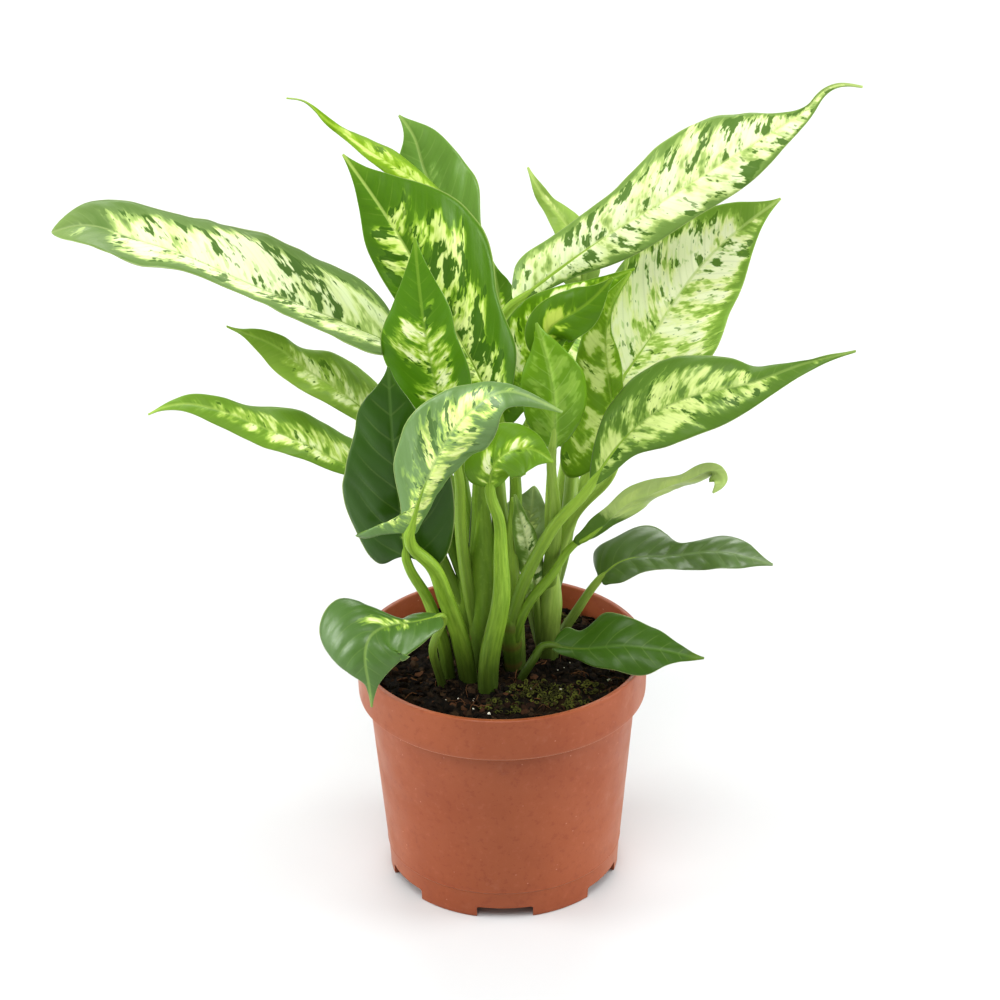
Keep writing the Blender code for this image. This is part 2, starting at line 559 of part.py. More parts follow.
def soil_profile():
    g = SOIL_GAP
    low = FOOT_HEIGHT + FLOOR_THICK + g
    r0 = BODY_BOTTOM_RADIUS - WALL - g
    r1 = BODY_TOP_RADIUS - WALL - g
    edge = RIM_RADIUS - RIM_LIP - 0.9
    return [(0, SOIL_TOP + 0.6), (16, SOIL_TOP + 0.4), (34, SOIL_TOP - 0.4), (48, SOIL_TOP - 1.0),
            (edge - 2.5, SOIL_EDGE), (edge, SOIL_EDGE - 1.2), (edge, BAND_BOTTOM + 3.2),
            (r1 - 0.4, BODY_TOP + 1.4), (r0 - 0.2, low + 2.4), (r0 - 2.4, low), (0, low)]


def build_soil(parts, holes, parent):
    soil = turned("soil", soil_profile(), parts, POT_STEPS)
    closed_outwards(soil.data)
    apply_boolean(soil, "DIFFERENCE", group=holes)
    smooth(soil.data, 40)
    soil.data.materials.append(material("peat_soil", (0.035, 0.022, 0.014), 0.95))
    soil.parent = parent
    return soil


# ---------------------------------------------------------------- stems and blades

def petiole_path(row):
    """The petiole's points and radii, from its foot to just short of the blade."""
    mid, along, _, _ = blade_frame(row, np.array([0.0]))
    end = mid[0] - along[0] * STEM_GAP
    straight = [tuple(end - along[0] * row["run"])] if row["run"] else []
    points = list(row["stem"]) + straight + [tuple(end)]
    length = np.sum(np.linalg.norm(np.diff(np.array(points, float), axis=0), axis=1))
    count = max(4, int(round(length / STEM_STEP)))
    shares = np.linspace(0, 1, count + 1)
    radii = row["foot"] + (row["tip"] - row["foot"]) * shares ** 0.7
    return spline_through(points, shares), radii


def cane_path(shoot):
    shares = np.linspace(0, 1, 5)
    radii = shoot["foot"] + (shoot["tip"] - shoot["foot"]) * shares
    return spline_through(shoot["cane"], shares), radii


def shoot_paths(name, shoot):
    """Every tube of a shoot: the cane if it has one, then its petioles."""
    paths = []
    if shoot["cane"]:
        paths.append((name, *cane_path(shoot), 2))
    for leaf_name, row in shoot["leaves"].items():
        paths.append((leaf_name + "_petiole", *petiole_path(row), 1 if shoot["cane"] else 2))
    return paths


def build_shoot(name, shoot, parts, parent):
    """The cane and petioles joined into one solid."""
    paths = shoot_paths(name, shoot)
    first = tube(name, paths[0][1], paths[0][2], parts, paths[0][3])
    if len(paths) > 1:
        group = new_collection(name + "_petioles", hidden=True)
        for tube_name, points, radii, resolution in paths[1:]:
            hide_cutter(tube(tube_name, points, radii, group, resolution))
        apply_boolean(first, "UNION", group=group)
        for thing in list(group.objects):
            bpy.data.objects.remove(thing)
        bpy.data.collections.remove(group)
    smooth(first.data, 50)
    first.data.materials.append(material("stem_green", STEM_GREEN, 0.45))
    first.parent = parent
    return first


def hole_cutters(name, shoot, holes):
    """Plain round holes for the stems of a shoot that reach into the soil."""
    for tube_name, points, radii, resolution in shoot_paths(name, shoot):
        low = points[0]
        if low[2] > SOIL_TOP + 4:
            continue
        inside = [p for p in points if p[2] < SOIL_TOP + 1]
        after = points[len(inside)]
        start = low - unit(points[1] - low) * HOLE_GAP
        wide = [r + HOLE_GAP for r in radii[:len(inside) + 1]]
        hide_cutter(tube("hole_" + tube_name, [start, *inside[1:], after], wide, holes, resolution))


def build_blade(name, row, parts, parent):
    """A grid bent to the leaf's shape, split alike on both faces, with an even thickness."""
    mesh = bpy.data.meshes.new(name)
    shape = bmesh.new()
    bmesh.ops.create_grid(shape, x_segments=BLADE_COLUMNS, y_segments=BLADE_ROWS, size=1.0)
    verts = sorted(shape.verts, key=lambda p: (round(p.co.y, 4), round(p.co.x, 4)))
    u = even_ends(BLADE_ROWS)
    v = np.linspace(-1, 1, BLADE_COLUMNS + 1)
    surface = blade_surface(row, u, v).reshape(-1, 3) * MM
    for vert, co in zip(verts, surface):
        vert.co = co
    bmesh.ops.triangulate(shape, faces=shape.faces, quad_method="FIXED")
    shape.to_mesh(mesh)
    shape.free()
    blade = add_object(name, mesh, parts, parent, material(name, row["color"], 0.4))
    thick = blade.modifiers.new("thickness", "SOLIDIFY")
    thick.thickness = BLADE_THICK * MM
    thick.offset = 0.0
    thick.use_even_offset = False
    mesh.shade_smooth()
    return blade


def main():
    clear_scene()
    parts = new_collection(NAME)
    cutters = new_collection("cutters", hidden=True)
    centre = bpy.data.objects.new("plant_centre", None)
    parts.objects.link(centre)
    centre.location = (ORIGIN_SHIFT[0] * MM, ORIGIN_SHIFT[1] * MM, 0)
    build_pot(parts, cutters, centre)
    holes = new_collection("stem_holes", hidden=True)
    for name, shoot in SHOOTS.items():
        build_shoot(name, shoot, parts, centre)
        hole_cutters(name, shoot, holes)
        for leaf_name, row in shoot["leaves"].items():
            build_blade(leaf_name, row, parts, centre)
    build_soil(parts, holes, centre)


main()
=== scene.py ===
"""Looks of the potted dieffenbachia: variegated blades, petioles, peat soil and a nursery pot.
"""

import json
import math
import random

import bmesh
import bpy
import numpy as np
from mathutils import Matrix, Vector, noise

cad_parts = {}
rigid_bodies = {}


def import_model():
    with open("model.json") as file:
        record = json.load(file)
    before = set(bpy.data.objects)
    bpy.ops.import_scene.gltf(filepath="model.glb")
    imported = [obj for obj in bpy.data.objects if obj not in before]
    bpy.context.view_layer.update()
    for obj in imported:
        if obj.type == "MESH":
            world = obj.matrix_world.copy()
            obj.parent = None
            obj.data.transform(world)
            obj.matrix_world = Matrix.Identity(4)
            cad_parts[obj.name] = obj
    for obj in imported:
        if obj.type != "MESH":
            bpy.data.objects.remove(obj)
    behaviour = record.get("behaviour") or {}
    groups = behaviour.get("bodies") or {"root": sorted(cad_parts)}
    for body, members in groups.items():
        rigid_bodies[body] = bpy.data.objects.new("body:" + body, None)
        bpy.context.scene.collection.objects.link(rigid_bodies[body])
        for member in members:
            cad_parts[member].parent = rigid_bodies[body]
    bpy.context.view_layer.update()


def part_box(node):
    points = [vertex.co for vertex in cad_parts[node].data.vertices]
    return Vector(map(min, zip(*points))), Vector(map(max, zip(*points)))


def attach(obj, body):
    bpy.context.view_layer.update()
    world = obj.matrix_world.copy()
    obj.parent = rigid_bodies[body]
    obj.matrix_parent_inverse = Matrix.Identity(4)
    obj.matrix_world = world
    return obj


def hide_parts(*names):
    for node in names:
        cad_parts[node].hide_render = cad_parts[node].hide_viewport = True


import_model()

MM = 0.001
FULL_TURN = 2 * math.pi
POT_LOW, POT_HIGH = (np.array(corner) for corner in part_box("pot"))
AXIS = np.array([(POT_LOW[0] + POT_HIGH[0]) / 2, (POT_LOW[1] + POT_HIGH[1]) / 2, 0.0])

# Camera, from the pot's axis
CAMERA_TARGET = (0.0, 0.0, 170.4)
CAMERA_DISTANCE = 1600.0
CAMERA_PITCH = 27.9
CAMERA_ROLL = -0.7
SENSOR = 36.0
LENS = 3.954 * SENSOR  # the picture is 1 / 3.954 as wide as it is far
VIEW_GAMMA = 0.9
WORLD_FRONT = 0.5  # strength of the world's light from the front and from the back
WORLD_BACK = 0.58
LIGHT_TARGET = (0.0, 0.0, 0.15)  # metres
FLOOR_SIZE = 20.0
FLOOR_DROP = 0.0002

# Pot
POT_STEPS = 192
POT_HEIGHT = 102.0
RIM_RADIUS = 60.0
RIM_LIP = 2.4
INSIDE_RIM = RIM_RADIUS - RIM_LIP
BAND_BOTTOM = 83.0
BAND_BOTTOM_RADIUS = 59.5
BODY_TOP = 82.0
BODY_TOP_RADIUS = 55.2
BODY_BOTTOM_RADIUS = 48.0
LINE_HEIGHT = 8.0  # of the moulded line round the body, above the feet
FOOT_HEIGHT = 4.8
FLOOR_THICK = 2.2
WALL = 1.6
FEET = 6
NOTCH_DEGREES = 28.0
NOTCH_CIRCLE = 46.4
NOTCH_DEEP = 12.0
NOTCH_ROUND = 1.0
DRAIN_HOLES = 6
DRAIN_RADIUS = 4.0
DRAIN_CIRCLE = 30.0
SHARP_DEGREES = 32.0  # edges of the pot bent more than this stay sharp

# Soil
SOIL_GAP = 0.3
SOIL_TOP = 94.0
SOIL_RINGS = 70
SOIL_STEPS = 200
SOIL_RADIUS = INSIDE_RIM - 0.9
SOIL_DOME = 1.2  # how much lower the soil lies towards the rim
FOOT_MOUND = 2.2  # how much higher it lies round a stem
SPREAD_RADIUS = SOIL_RADIUS - 1.5  # how far out the grains and fibres lie
FIBRES = 150
THREAD_SIDES = 5
THREAD_POINTS = 9
THREAD_BEND = 0.35  # radians at each point
CURL_POINTS = 8
CURL_STEP = 0.75  # radians between a curl's points

# Blades
BLADE_ROWS = 96  # cells along a blade and across it
BLADE_COLUMNS = 40
BLADE_THICK = 0.45
BASE_HALF = 1.3  # half a blade's width at its base and at its tip
TIP_HALF = 0.5
TIP_FROM = 0.4  # share of the length where the tip starts to draw out
LOBE_TO = 0.35  # share of the length that a base lobe takes
WAVE_HEIGHT = 1.2  # the margin's waves
WAVE_COUNT = 2.5
WAVE_SHIFT = 1.9  # of the right half's waves against the left half's
QUILT_FROM = 3.0  # mm from the midrib where the quilting is at its full height
RUFFLE = 0.9  # height and length of the fine waves near the margin
RUFFLE_LONG = 10
SWELL = 1.3  # height, length and width of a blade's broad unevenness
SWELL_LONG = 17
SWELL_WIDE = 11
SWELL_FROM = 5
VEIN_LEAN = 0.8  # how far side veins lean towards the tip, and how much they bend
VEIN_BEND = 0.018
RIB_DEPTH = 1.5  # the midrib's depth, its width at the base, and how much narrower its tip is
RIB_WIDE = 1.5
RIB_NARROWS = 0.7
GROOVE = 0.25  # depth and width of the groove over the midrib
GROOVE_WIDE = 0.9
ALONG_VEIN = 1.45  # mm along a side vein for each mm away from the midrib
DRIFT = 0.72  # how much the pattern also runs along the midrib

# Stems
STEM_GAP = 0.9  # between a petiole's end and its blade's first point
# Shoots whose petioles get a brighter copy of the petiole colour, with less painted shade at the foot:
# painted light for a shoot that stands in shadow at the back
BRIGHTENED_SHOOTS = ("stem_back_right",)
STEM_SIDES = 20
STEM_RING = 2.0  # mm between rings
SMOOTHINGS = 16  # rounds that ease a petiole's bends
UNDER_TO = 0.3  # share of the blade's length under which its petiole goes on
UNDER_RINGS = 14
SHEATH_WIDE = 0.34  # how much wider than its tube a petiole's sheath is
SHEATH_RINGS = 48
CANE_RINGS = 24
CANE_SCARS = (17.0, 27.0, 36.0)  # mm up the cane


# ---------------------------------------------------------------- the plant's shape

EDGE_AT = (0.06, 0.16, 0.3, 0.5, 0.7, 0.86)  # shares of a blade's length

# What a blade and its petiole are where a row says nothing else. A pair stands for left and right.
PLAIN_LEAF = dict(
    foot=2.8,  # the petiole's radius at its foot and at its tip
    tip=1.7,
    run=7,  # how far the petiole goes on in the midrib's line
    wide=0.42,  # share of the length where the blade is widest
    fold=12,  # degrees by which the halves rise towards the upper side, at once and along the way
    curl=-18,
    lobe=3,  # how far the base reaches back
    base=0.56,  # how tapered the base is, and how drawn-out the tip
    point=0.8,
    left=(1, 1, 1, 1, 1, 1),  # each half's width against the plain outline, at EDGE_AT
    right=(1, 1, 1, 1, 1, 1),
)


def leaf(mid, face, half, stem, **given):
    """One blade with its petiole.

    mid: the midrib's points from base to tip. face: where its upper side looks, from base to tip.
    half: half its width. stem: the petiole's points below the blade. given: as in PLAIN_LEAF."""
    return dict(PLAIN_LEAF, mid=mid, face=face, half=half, stem=stem, **given)


# Each shoot is the petioles that grow from one cane. The cane's own points come first.
# leaf_long_left, leaf_front_of_large, leaf_upright_right and leaf_back_right reach further behind
# their neighbours than their plain solids do.
SHOOTS = {
    "stem_front_left": dict(cane=None, leaves={
        "leaf_front_arching": leaf(
            [(-36, -38, 176), (-31, -46, 197), (-26, -53, 213), (-19, -61, 231), (-8, -67, 247),
             (4, -72, 255), (14, -75, 253), (24, -78, 249)],
            [(0.1, -0.6, 0.8), (0.1, -0.6, 0.75), (0.2, -0.6, 0.8), (0.3, -0.5, 0.85)], 15,
            [(-12, -17, 86), (-14, -18, 101), (-17, -20, 121), (-21, -23, 135), (-24, -26, 147),
             (-28, -30, 159)],
            foot=3.7, tip=2.3, run=5, wide=0.36, fold=(8, -10), curl=(-10, -30), lobe=(20, 3), base=0.45,
            left=(1.9, 0.3, 1, 1.1, 0.8, 0.3), right=(0.3, 0.35, 0.45, 0.9, 1.1, 1.2)),
    }),
    "stem_outer_left": dict(cane=None, leaves={
        "leaf_dark_left": leaf(
            [(-38, -24, 158), (-40, -28, 186), (-42, -29, 215), (-43, -25, 243)],
            [(-0.2, -0.95, 0.25), (-0.1, -0.95, 0.2)], 21,
            [(-21, -14, 86), (-22, -15, 99), (-23, -17, 112), (-25, -18, 121), (-28, -20, 131),
             (-31, -21, 141)],
            foot=2.9, tip=1.9, run=5, wide=0.36, fold=5, curl=-15, lobe=12,
            left=(0.8, 0.9, 1.1, 1, 1.1, 1.85), right=(0.8, 0.9, 1, 1, 1, 1.3)),
    }),
    "stem_low_left": dict(cane=None, leaves={
        "leaf_low_left": leaf(
            [(-25, -30, 134), (-36, -42, 138), (-45, -52, 142), (-52, -59, 141), (-54, -63, 135),
             (-53, -65, 125), (-52, -64, 112)],
            [(-0.2, -0.4, 0.9), (-0.3, -0.7, 0.6), (-0.4, -0.9, 0.1)], 17,
            [(-23, -20, 87), (-25, -21, 100), (-28, -24, 112), (-28, -27, 121)],
            foot=1.8, tip=1.1, run=6, wide=0.45, fold=5, curl=-25, lobe=2,
            left=(0.6, 0.55, 0.65, 0.9, 1.15, 0.6), right=(0.75, 0.55, 0.3, 1.45, 1.35, 0.3)),
    }),
    "stem_main": dict(cane=[(-9, -6, 84), (-9, -6, 96), (-10, -5, 116), (-12, -3, 132)],
        foot=5.2, tip=4.2, leaves={
        "leaf_centre_left": leaf(
            [(-1, -4, 213), (-14, 2, 239), (-29, 8, 265), (-44, 14, 291), (-60, 20, 314)],
            [(0.15, -0.85, 0.5), (0.15, -0.85, 0.5)], (18, 22),
            [(-10, -5, 116), (-10, -4, 140), (-8, -3, 170), (-4, -4, 196)],
            foot=3, tip=1.9, wide=0.45, fold=14, curl=-20, lobe=4, left=(0.9, 0.8, 0.75, 0.75, 0.9, 0.95),
            right=(0.85, 1.05, 1, 1.4, 1.55, 1.5)),
        "leaf_small_upright": leaf(
            [(-21, -15, 212), (-26, -14, 236), (-30, -11, 265), (-32, -5, 289)],
            [(-0.1, -0.9, 0.4), (-0.1, -0.9, 0.4)], (15, 12),
            [(-10, -7, 112), (-14, -8, 140), (-16, -11, 170), (-17, -16, 196)],
            wide=0.4, lobe=4, left=(1.3, 1, 1.1, 1.2, 0.95, 0.95),
            right=(1.3, 1.2, 1.15, 0.95, 1.05, 1.1)),
        "leaf_long_left": leaf(
            [(-40, 14, 233), (-60, 10, 245), (-82, 5, 258), (-103, 1, 270), (-124, -4, 283),
             (-143, -8, 292), (-160, -12, 299), (-172, -14, 297)],
            [(0.3, -0.35, 0.9), (0.3, -0.3, 0.92)], (18.5, 24),
            [(-12, -3, 126), (-16, 2, 150), (-22, 8, 180), (-30, 12, 212)],
            foot=3, tip=1.9, wide=0.52, fold=(38, 30), curl=(-8, -20), lobe=(7, 4), point=0.2,
            left=(2.5, 2.3, 1.25, 1.05, 1.1, 2.7), right=(1.8, 1.6, 1.2, 1.05, 0.85, 1.1)),
        "leaf_left_middle": leaf(
            [(-46, 6, 202), (-58, 5, 213), (-67, 4, 221), (-77, 3, 229), (-85, 2, 237), (-97, 0, 245),
             (-107, -3, 251)],
            [(0.3, -0.5, 0.8), (0.3, -0.4, 0.85)], 13,
            [(-12, -5, 126), (-20, 0, 150), (-30, 3, 172), (-39, 5, 190)],
            foot=2.6, tip=1.6, left=(0.5, 0.5, 0.5, 0.75, 0.9, 0.95),
            right=(1.6, 1.6, 1.35, 0.9, 0.6, 0.8)),
        "leaf_left_lower": leaf(
            [(-46, 2, 181), (-66, -1, 190), (-75, -3, 197), (-85, -5, 203), (-96, -7, 209),
             (-106, -9, 215), (-116, -10, 219), (-125, -11, 221), (-133, -12, 220), (-139, -12, 217)],
            [(0.3, -0.4, 0.85), (0.1, -0.4, 0.9)], 11.5,
            [(-13, -5, 120), (-22, -3, 140), (-32, 0, 160), (-40, 2, 172)],
            foot=2.6, tip=1.6, left=(0.4, 0.4, 0.45, 0.8, 0.75, 1.1),
            right=(1.6, 1.6, 1.35, 1.1, 0.7, 1.15)),
        "leaf_lime_back_left": leaf(
            [(-21, 40, 281), (-29, 42, 290), (-40, 44, 298), (-51, 46, 305), (-61, 48, 312),
             (-69, 49, 318), (-76, 51, 324), (-83, 52, 325)],
            [(0.4, -0.2, 0.9), (0.4, -0.2, 0.9)], 10,
            [(-11, -2, 130), (-8, 10, 170), (-7, 24, 220), (-12, 34, 258)],
            tip=1.6, wide=0.45, left=(1.2, 0.9, 0.5, 0.6, 0.1, 0.2),
            right=(1.5, 1.1, 0.9, 1, 0.25, 0.15)),
        "leaf_dark_back_left": leaf(
            [(-14, 56, 234), (-15, 59, 252), (-21, 63, 268), (-26, 66, 279), (-30, 69, 289),
             (-33, 72, 299), (-39, 74, 308)],
            [(0.1, -0.85, 0.5), (0.1, -0.8, 0.6)], 14,
            [(-10, -1, 126), (-7, 14, 160), (-8, 34, 195), (-11, 48, 218)],
            wide=0.5, left=(0.8, 0.8, 0.8, 0.8, 0.9, 1.05), right=(1, 1, 0.85, 1.25, 1.35, 1.75)),
        "leaf_back_left": leaf(
            [(-18, 42, 182), (-25, 58, 198), (-34, 74, 207), (-45, 90, 204)],
            [(-0.2, 0.3, 0.9), (-0.2, 0.5, 0.8)], 17,
            [(-11, -1, 122), (-12, 12, 140), (-14, 26, 158), (-16, 36, 173)],
            foot=2.6),
        "leaf_back_low": leaf(
            [(-19, 32, 135), (-25, 42, 149), (-34, 54, 159), (-44, 64, 166)],
            [(-0.2, 0.2, 0.95), (-0.2, 0.5, 0.8)], 13,
            [(-11, -2, 106), (-13, 9, 116), (-16, 20, 125)],
            foot=2.4, tip=1.5),
    }),
    "stem_centre": dict(cane=None, leaves={
        "leaf_centre_small": leaf(
            [(-4, -26, 190), (0, -32, 206), (12, -36, 212), (21, -36, 206)],
            [(0, -0.8, 0.6), (0.1, -0.7, 0.7)], 12,
            [(-6, -24, 88), (-6, -24, 104), (-5, -23, 115), (-2, -22, 127), (0, -22, 139), (0, -22, 152),
             (0, -22, 166), (-1, -23, 178)],
            foot=4.2, tip=2.2, lobe=1, right=(0.6, 0.65, 0.7, 0.8, 1.2, 2)),
    }),
    "stem_right": dict(cane=[(5, -9, 84), (5, -9, 96), (4, -12, 112), (4, -13, 124)],
        foot=4.6, tip=3.8, leaves={
        "leaf_right_arching": leaf(
            [(37, -14, 185), (56, -15, 212), (79, -16, 225), (99, -17, 230), (118, -18, 238),
             (140, -20, 245)],
            [(-0.3, -0.7, 0.7), (-0.1, -0.6, 0.8)], (12, 15),
            [(4, -13, 118), (9, -14, 140), (18, -15, 160), (27, -14, 173)],
            tip=2, wide=0.45, fold=14, curl=-20, lobe=1, base=0.85, point=0.9,
            left=(1.2, 1.5, 1.7, 1.4, 0.75, 0.1), right=(0.7, 0.6, 1, 1, 0.7, 0.9)),
        "leaf_right_twisted": leaf(
            [(31, -8, 155), (39, -9, 162), (44, -10, 168), (51, -11, 175), (59, -12, 179), (69, -13, 184),
             (76, -14, 187), (81, -15, 190), (86, -16, 191), (89, -17, 187), (85, -18, 182)],
            [(-0.2, 0.8, 0.5), (-0.2, 0.8, 0.5)], 9,
            [(5, -13, 112), (10, -15, 130), (16, -14, 138), (24, -11, 146)],
            foot=2.4, tip=1.5, fold=10, curl=10, lobe=2, point=0.3, left=(2.2, 1.5, 1.9, 1.9, 1.15, 1.9),
            right=(0.4, 0.6, 0.3, 0.7, 0.4, 0.6)),
        "leaf_low_right": leaf(
            [(21, -15, 111), (30, -18, 111), (39, -21, 113), (48, -23, 115), (58, -25, 115),
             (67, -26, 114), (76, -27, 112), (82, -27, 111)],
            [(-0.1, -0.6, 0.8), (0, -0.6, 0.8)], 12,
            [(6, -13, 86), (7, -16, 95), (11, -17, 103), (16, -16, 109)],
            foot=1.8, tip=1.5, fold=8, curl=-14, lobe=1, left=(1.2, 0.75, 1.3, 1, 0.95, 0.85),
            right=(0.3, 0.3, 0.65, 0.9, 1.05, 0.8)),
        "leaf_large_right": leaf(
            [(7, 39, 240), (37, 39, 264), (65, 39, 283), (93, 39, 302), (114, 39, 316), (124, 39, 324),
             (128, 39, 329), (135, 39, 333), (145, 39, 332)],
            [(-0.25, -0.75, 0.6), (-0.3, -0.65, 0.7)], 20,
            [(4, -9, 122), (-1, 12, 160), (-3, 28, 196), (-1, 36, 222)],
            foot=3.2, tip=2.1, wide=0.56, fold=(12, 4), curl=(-14, -20), lobe=9, point=1.4,
            left=(1.9, 1.15, 0.85, 1.05, 0.85, 0), right=(0.3, 0.4, 0.7, 0.6, 0.6, 0.45)),
        "leaf_behind_centre": leaf(
            [(1, 50, 216), (1, 54, 230), (-2, 58, 250)],
            [(0.1, -0.8, 0.5), (0.1, -0.8, 0.5)], 7,
            [(4, -8, 120), (1, 14, 150), (0, 34, 185), (1, 45, 206)],
            foot=2.4, tip=1.4),
        "leaf_front_of_large": leaf(
            [(13, 22, 201), (13, 23, 224), (27, 24, 246), (55, 25, 261)],
            [(0, -0.9, 0.4), (0, -0.85, 0.5)], (15, 13),
            [(4, -8, 120), (5, 2, 150), (6, 14, 178), (8, 19, 191)],
            foot=2.6, lobe=(17, 16), left=(1, 1, 0.95, 0.8, 0.4, 0.3)),
    }),
    "stem_back_right": dict(cane=[(18, 4, 84), (18, 4, 96), (18, 3, 108), (19, 2, 118)],
        foot=4.4, tip=3.6, leaves={
        "leaf_upright_right": leaf(
            [(47, 8, 183), (46, 9, 206), (43, 9, 235), (46, 9, 254), (53, 9, 267)],
            [(-0.6, -0.75, 0.3), (-0.5, -0.75, 0.4)], (21, 12),
            [(18, 2, 112), (20, 2, 128), (24, 5, 146), (34, 7, 166)],
            foot=3.2, tip=1.8, run=2.5, wide=0.36, fold=30, curl=-10, lobe=(16, 2),
            left=(1.3, 1.2, 0.95, 0.6, 0.6, 0.6), right=(0.4, 0.4, 0.75, 0.7, 0.3, 0.2)),
        "leaf_turned_centre": leaf(
            [(21, -14, 201), (22, -20, 220), (20, -22, 240), (15, -18, 258)],
            [(0, 0.9, 0.3), (0, 0.9, -0.1)], 13,
            [(18, 3, 110), (19, 0, 130), (21, -6, 150), (22, -10, 175)],
            tip=1.9, wide=0.45, fold=10, curl=15, lobe=1),
        "leaf_inner_centre": leaf(
            [(19, -9, 239), (20, -9, 250), (32, -8, 259), (45, -7, 272)],
            [(0.1, -0.8, 0.5), (0.1, -0.8, 0.5)], 9,
            [(18, 3, 112), (20, 0, 134), (20, -5, 165), (21, -9, 200)],
            foot=2.2, tip=1.4, wide=0.4, lobe=0),
        "leaf_back_right": leaf(
            [(49, 50, 197), (66, 54, 222), (85, 60, 248), (116, 68, 272)],
            [(0.1, -0.85, 0.5), (0.1, -0.8, 0.6)], 20,
            [(19, 4, 112), (24, 18, 135), (34, 34, 158), (43, 45, 180)],
            foot=3, tip=1.9, wide=0.45, fold=10, curl=-15, lobe=4,
            left=(1.3, 1.35, 1.35, 1.25, 1.05, 1.45), right=(1.3, 1.3, 1.3, 1.05, 1, 0.9)),
        "leaf_lime_back": leaf(
            [(35, 64, 236), (32, 67, 255), (26, 71, 264), (19, 75, 272), (13, 80, 282)],
            [(0.1, -0.85, 0.5), (0.1, -0.8, 0.6)], 11,
            [(18, 4, 114), (27, 18, 145), (32, 42, 180), (36, 56, 200)],
            tip=1.6, left=(1, 0.9, 0.7, 0.5, 0.4, 0.55), right=(0.8, 0.8, 0.5, 0.55, 0.25, 0.4)),
        "leaf_right_green": leaf(
            [(41, 12, 127), (49, 11, 135), (59, 10, 138), (68, 8, 139), (79, 5, 142), (90, 2, 144),
             (99, 0, 143), (111, -2, 140)],
            [(-0.2, -0.5, 0.85), (0, -0.5, 0.85)], 11,
            [(19, 5, 90), (22, 8, 98), (28, 10, 108), (34, 11, 117)],
            foot=2.4, tip=1.6, wide=0.38, left=(1.7, 1.25, 1.4, 0.4, 1.05, 2.1),
            right=(0.6, 0.8, 0.6, 0.55, 1, 1.7)),
        "leaf_back_centre": leaf(
            [(28, 44, 172), (32, 62, 190), (36, 82, 200), (42, 102, 198)],
            [(0.1, 0.3, 0.9), (0.2, 0.5, 0.8)], 18,
            [(18, 5, 110), (20, 16, 128), (23, 28, 146), (26, 38, 162)]),
        "leaf_young_front": leaf(
            [(14, -3, 131), (12, -4, 144), (9, -4, 159), (6, -4, 175)],
            [(0.1, -0.9, 0.3), (0.1, -0.9, 0.3)], 4.5,
            [(17, 2, 96), (15, -1, 110)],
            foot=1.8, tip=1.2, wide=0.4, fold=30, curl=-10, lobe=0, point=0.6),
        "leaf_young_back": leaf(
            [(10, 27, 127), (11, 27, 141), (13, 26, 153), (14, 24, 164)],
            [(0.1, -0.9, 0.3), (0.1, -0.9, 0.3)], (12, 7),
            [(17, 5, 96), (13, 14, 108), (11, 20, 120)],
            foot=2, tip=1.4, wide=0.45, lobe=1, point=0.4),
    }),
}

# ---------------------------------------------------------------- curves and blade surfaces

def running_length(points):
    """Length along the points, from 0 at the first of them."""
    steps = np.linalg.norm(np.diff(points, axis=0), axis=1)
    return np.concatenate([[0.0], np.cumsum(steps)])


def spline_through(points, shares):
    """A natural cubic spline through the points, read at these shares of its length."""
    p = np.array(points, float)
    d = running_length(p)
    h, n = np.diff(d), len(p)
    a, b = np.eye(n), np.zeros((n, 3))
    for i in range(1, n - 1):
        a[i, i - 1:i + 2] = h[i - 1], 2 * (h[i - 1] + h[i]), h[i]
        b[i] = 6 * ((p[i + 1] - p[i]) / h[i] - (p[i] - p[i - 1]) / h[i - 1])
    m = np.linalg.solve(a, b)

    def read(s):
        i = np.clip(np.searchsorted(d, s, "right") - 1, 0, n - 2)
        x, r, w = (s - d[i])[:, None], (d[i + 1] - s)[:, None], h[i][:, None]
        bend = (m[i] * r ** 3 + m[i + 1] * x ** 3) / (6 * w)
        return bend + (p[i] / w - m[i] * w / 6) * r + (p[i + 1] / w - m[i + 1] * w / 6) * x

    fine = np.linspace(0, d[-1], 240)
    run = running_length(read(fine))
    return read(np.interp(np.asarray(shares) * run[-1], run, fine))


def unit(v):
    return v / np.linalg.norm(v, axis=-1, keepdims=True)


def blade_frame(row, u):
    """The midrib's points, directions, upper-side normals and right-hand sides at shares u."""
    mid = spline_through(row["mid"], u)
    step = 0.01
    along = unit(spline_through(row["mid"], np.clip(u + step, 0, 1))
                 - spline_through(row["mid"], np.clip(u - step, 0, 1)))
    faces = np.array(row["face"], float)
    at = np.linspace(0, 1, len(faces))
    face = np.stack([np.interp(u, at, faces[:, k]) for k in range(3)], axis=1)
    up = unit(face - np.sum(face * along, axis=1, keepdims=True) * along)
    return mid, along, up, np.cross(along, up)


def fullness(row, u):
    """The blade's width as a share of its widest: a round base and a drawn-out tip."""
    power = math.log(0.5) / math.log(row["wide"])
    tip = np.clip((u - TIP_FROM) / (1 - TIP_FROM), 0, 1)
    sharp = row["base"] + row["point"] * tip * tip * (3 - 2 * tip)
    return np.sin(math.pi * np.clip(u, 0, 1) ** power).clip(0, 1) ** sharp


def flowing(u, values):
    """A smooth curve through the values at EDGE_AT."""
    knots, y = np.array(EDGE_AT), np.array(values, float)
    slope = np.gradient(y, knots)
    x = np.clip(u, knots[0], knots[-1])
    i = np.clip(np.searchsorted(knots, x, "right") - 1, 0, len(knots) - 2)
    h = knots[i + 1] - knots[i]
    t = (x - knots[i]) / h
    return ((2 * t ** 3 - 3 * t ** 2 + 1) * y[i] + (t ** 3 - 2 * t ** 2 + t) * h * slope[i]
            + (3 * t ** 2 - 2 * t ** 3) * y[i + 1] + (t ** 3 - t ** 2) * h * slope[i + 1])


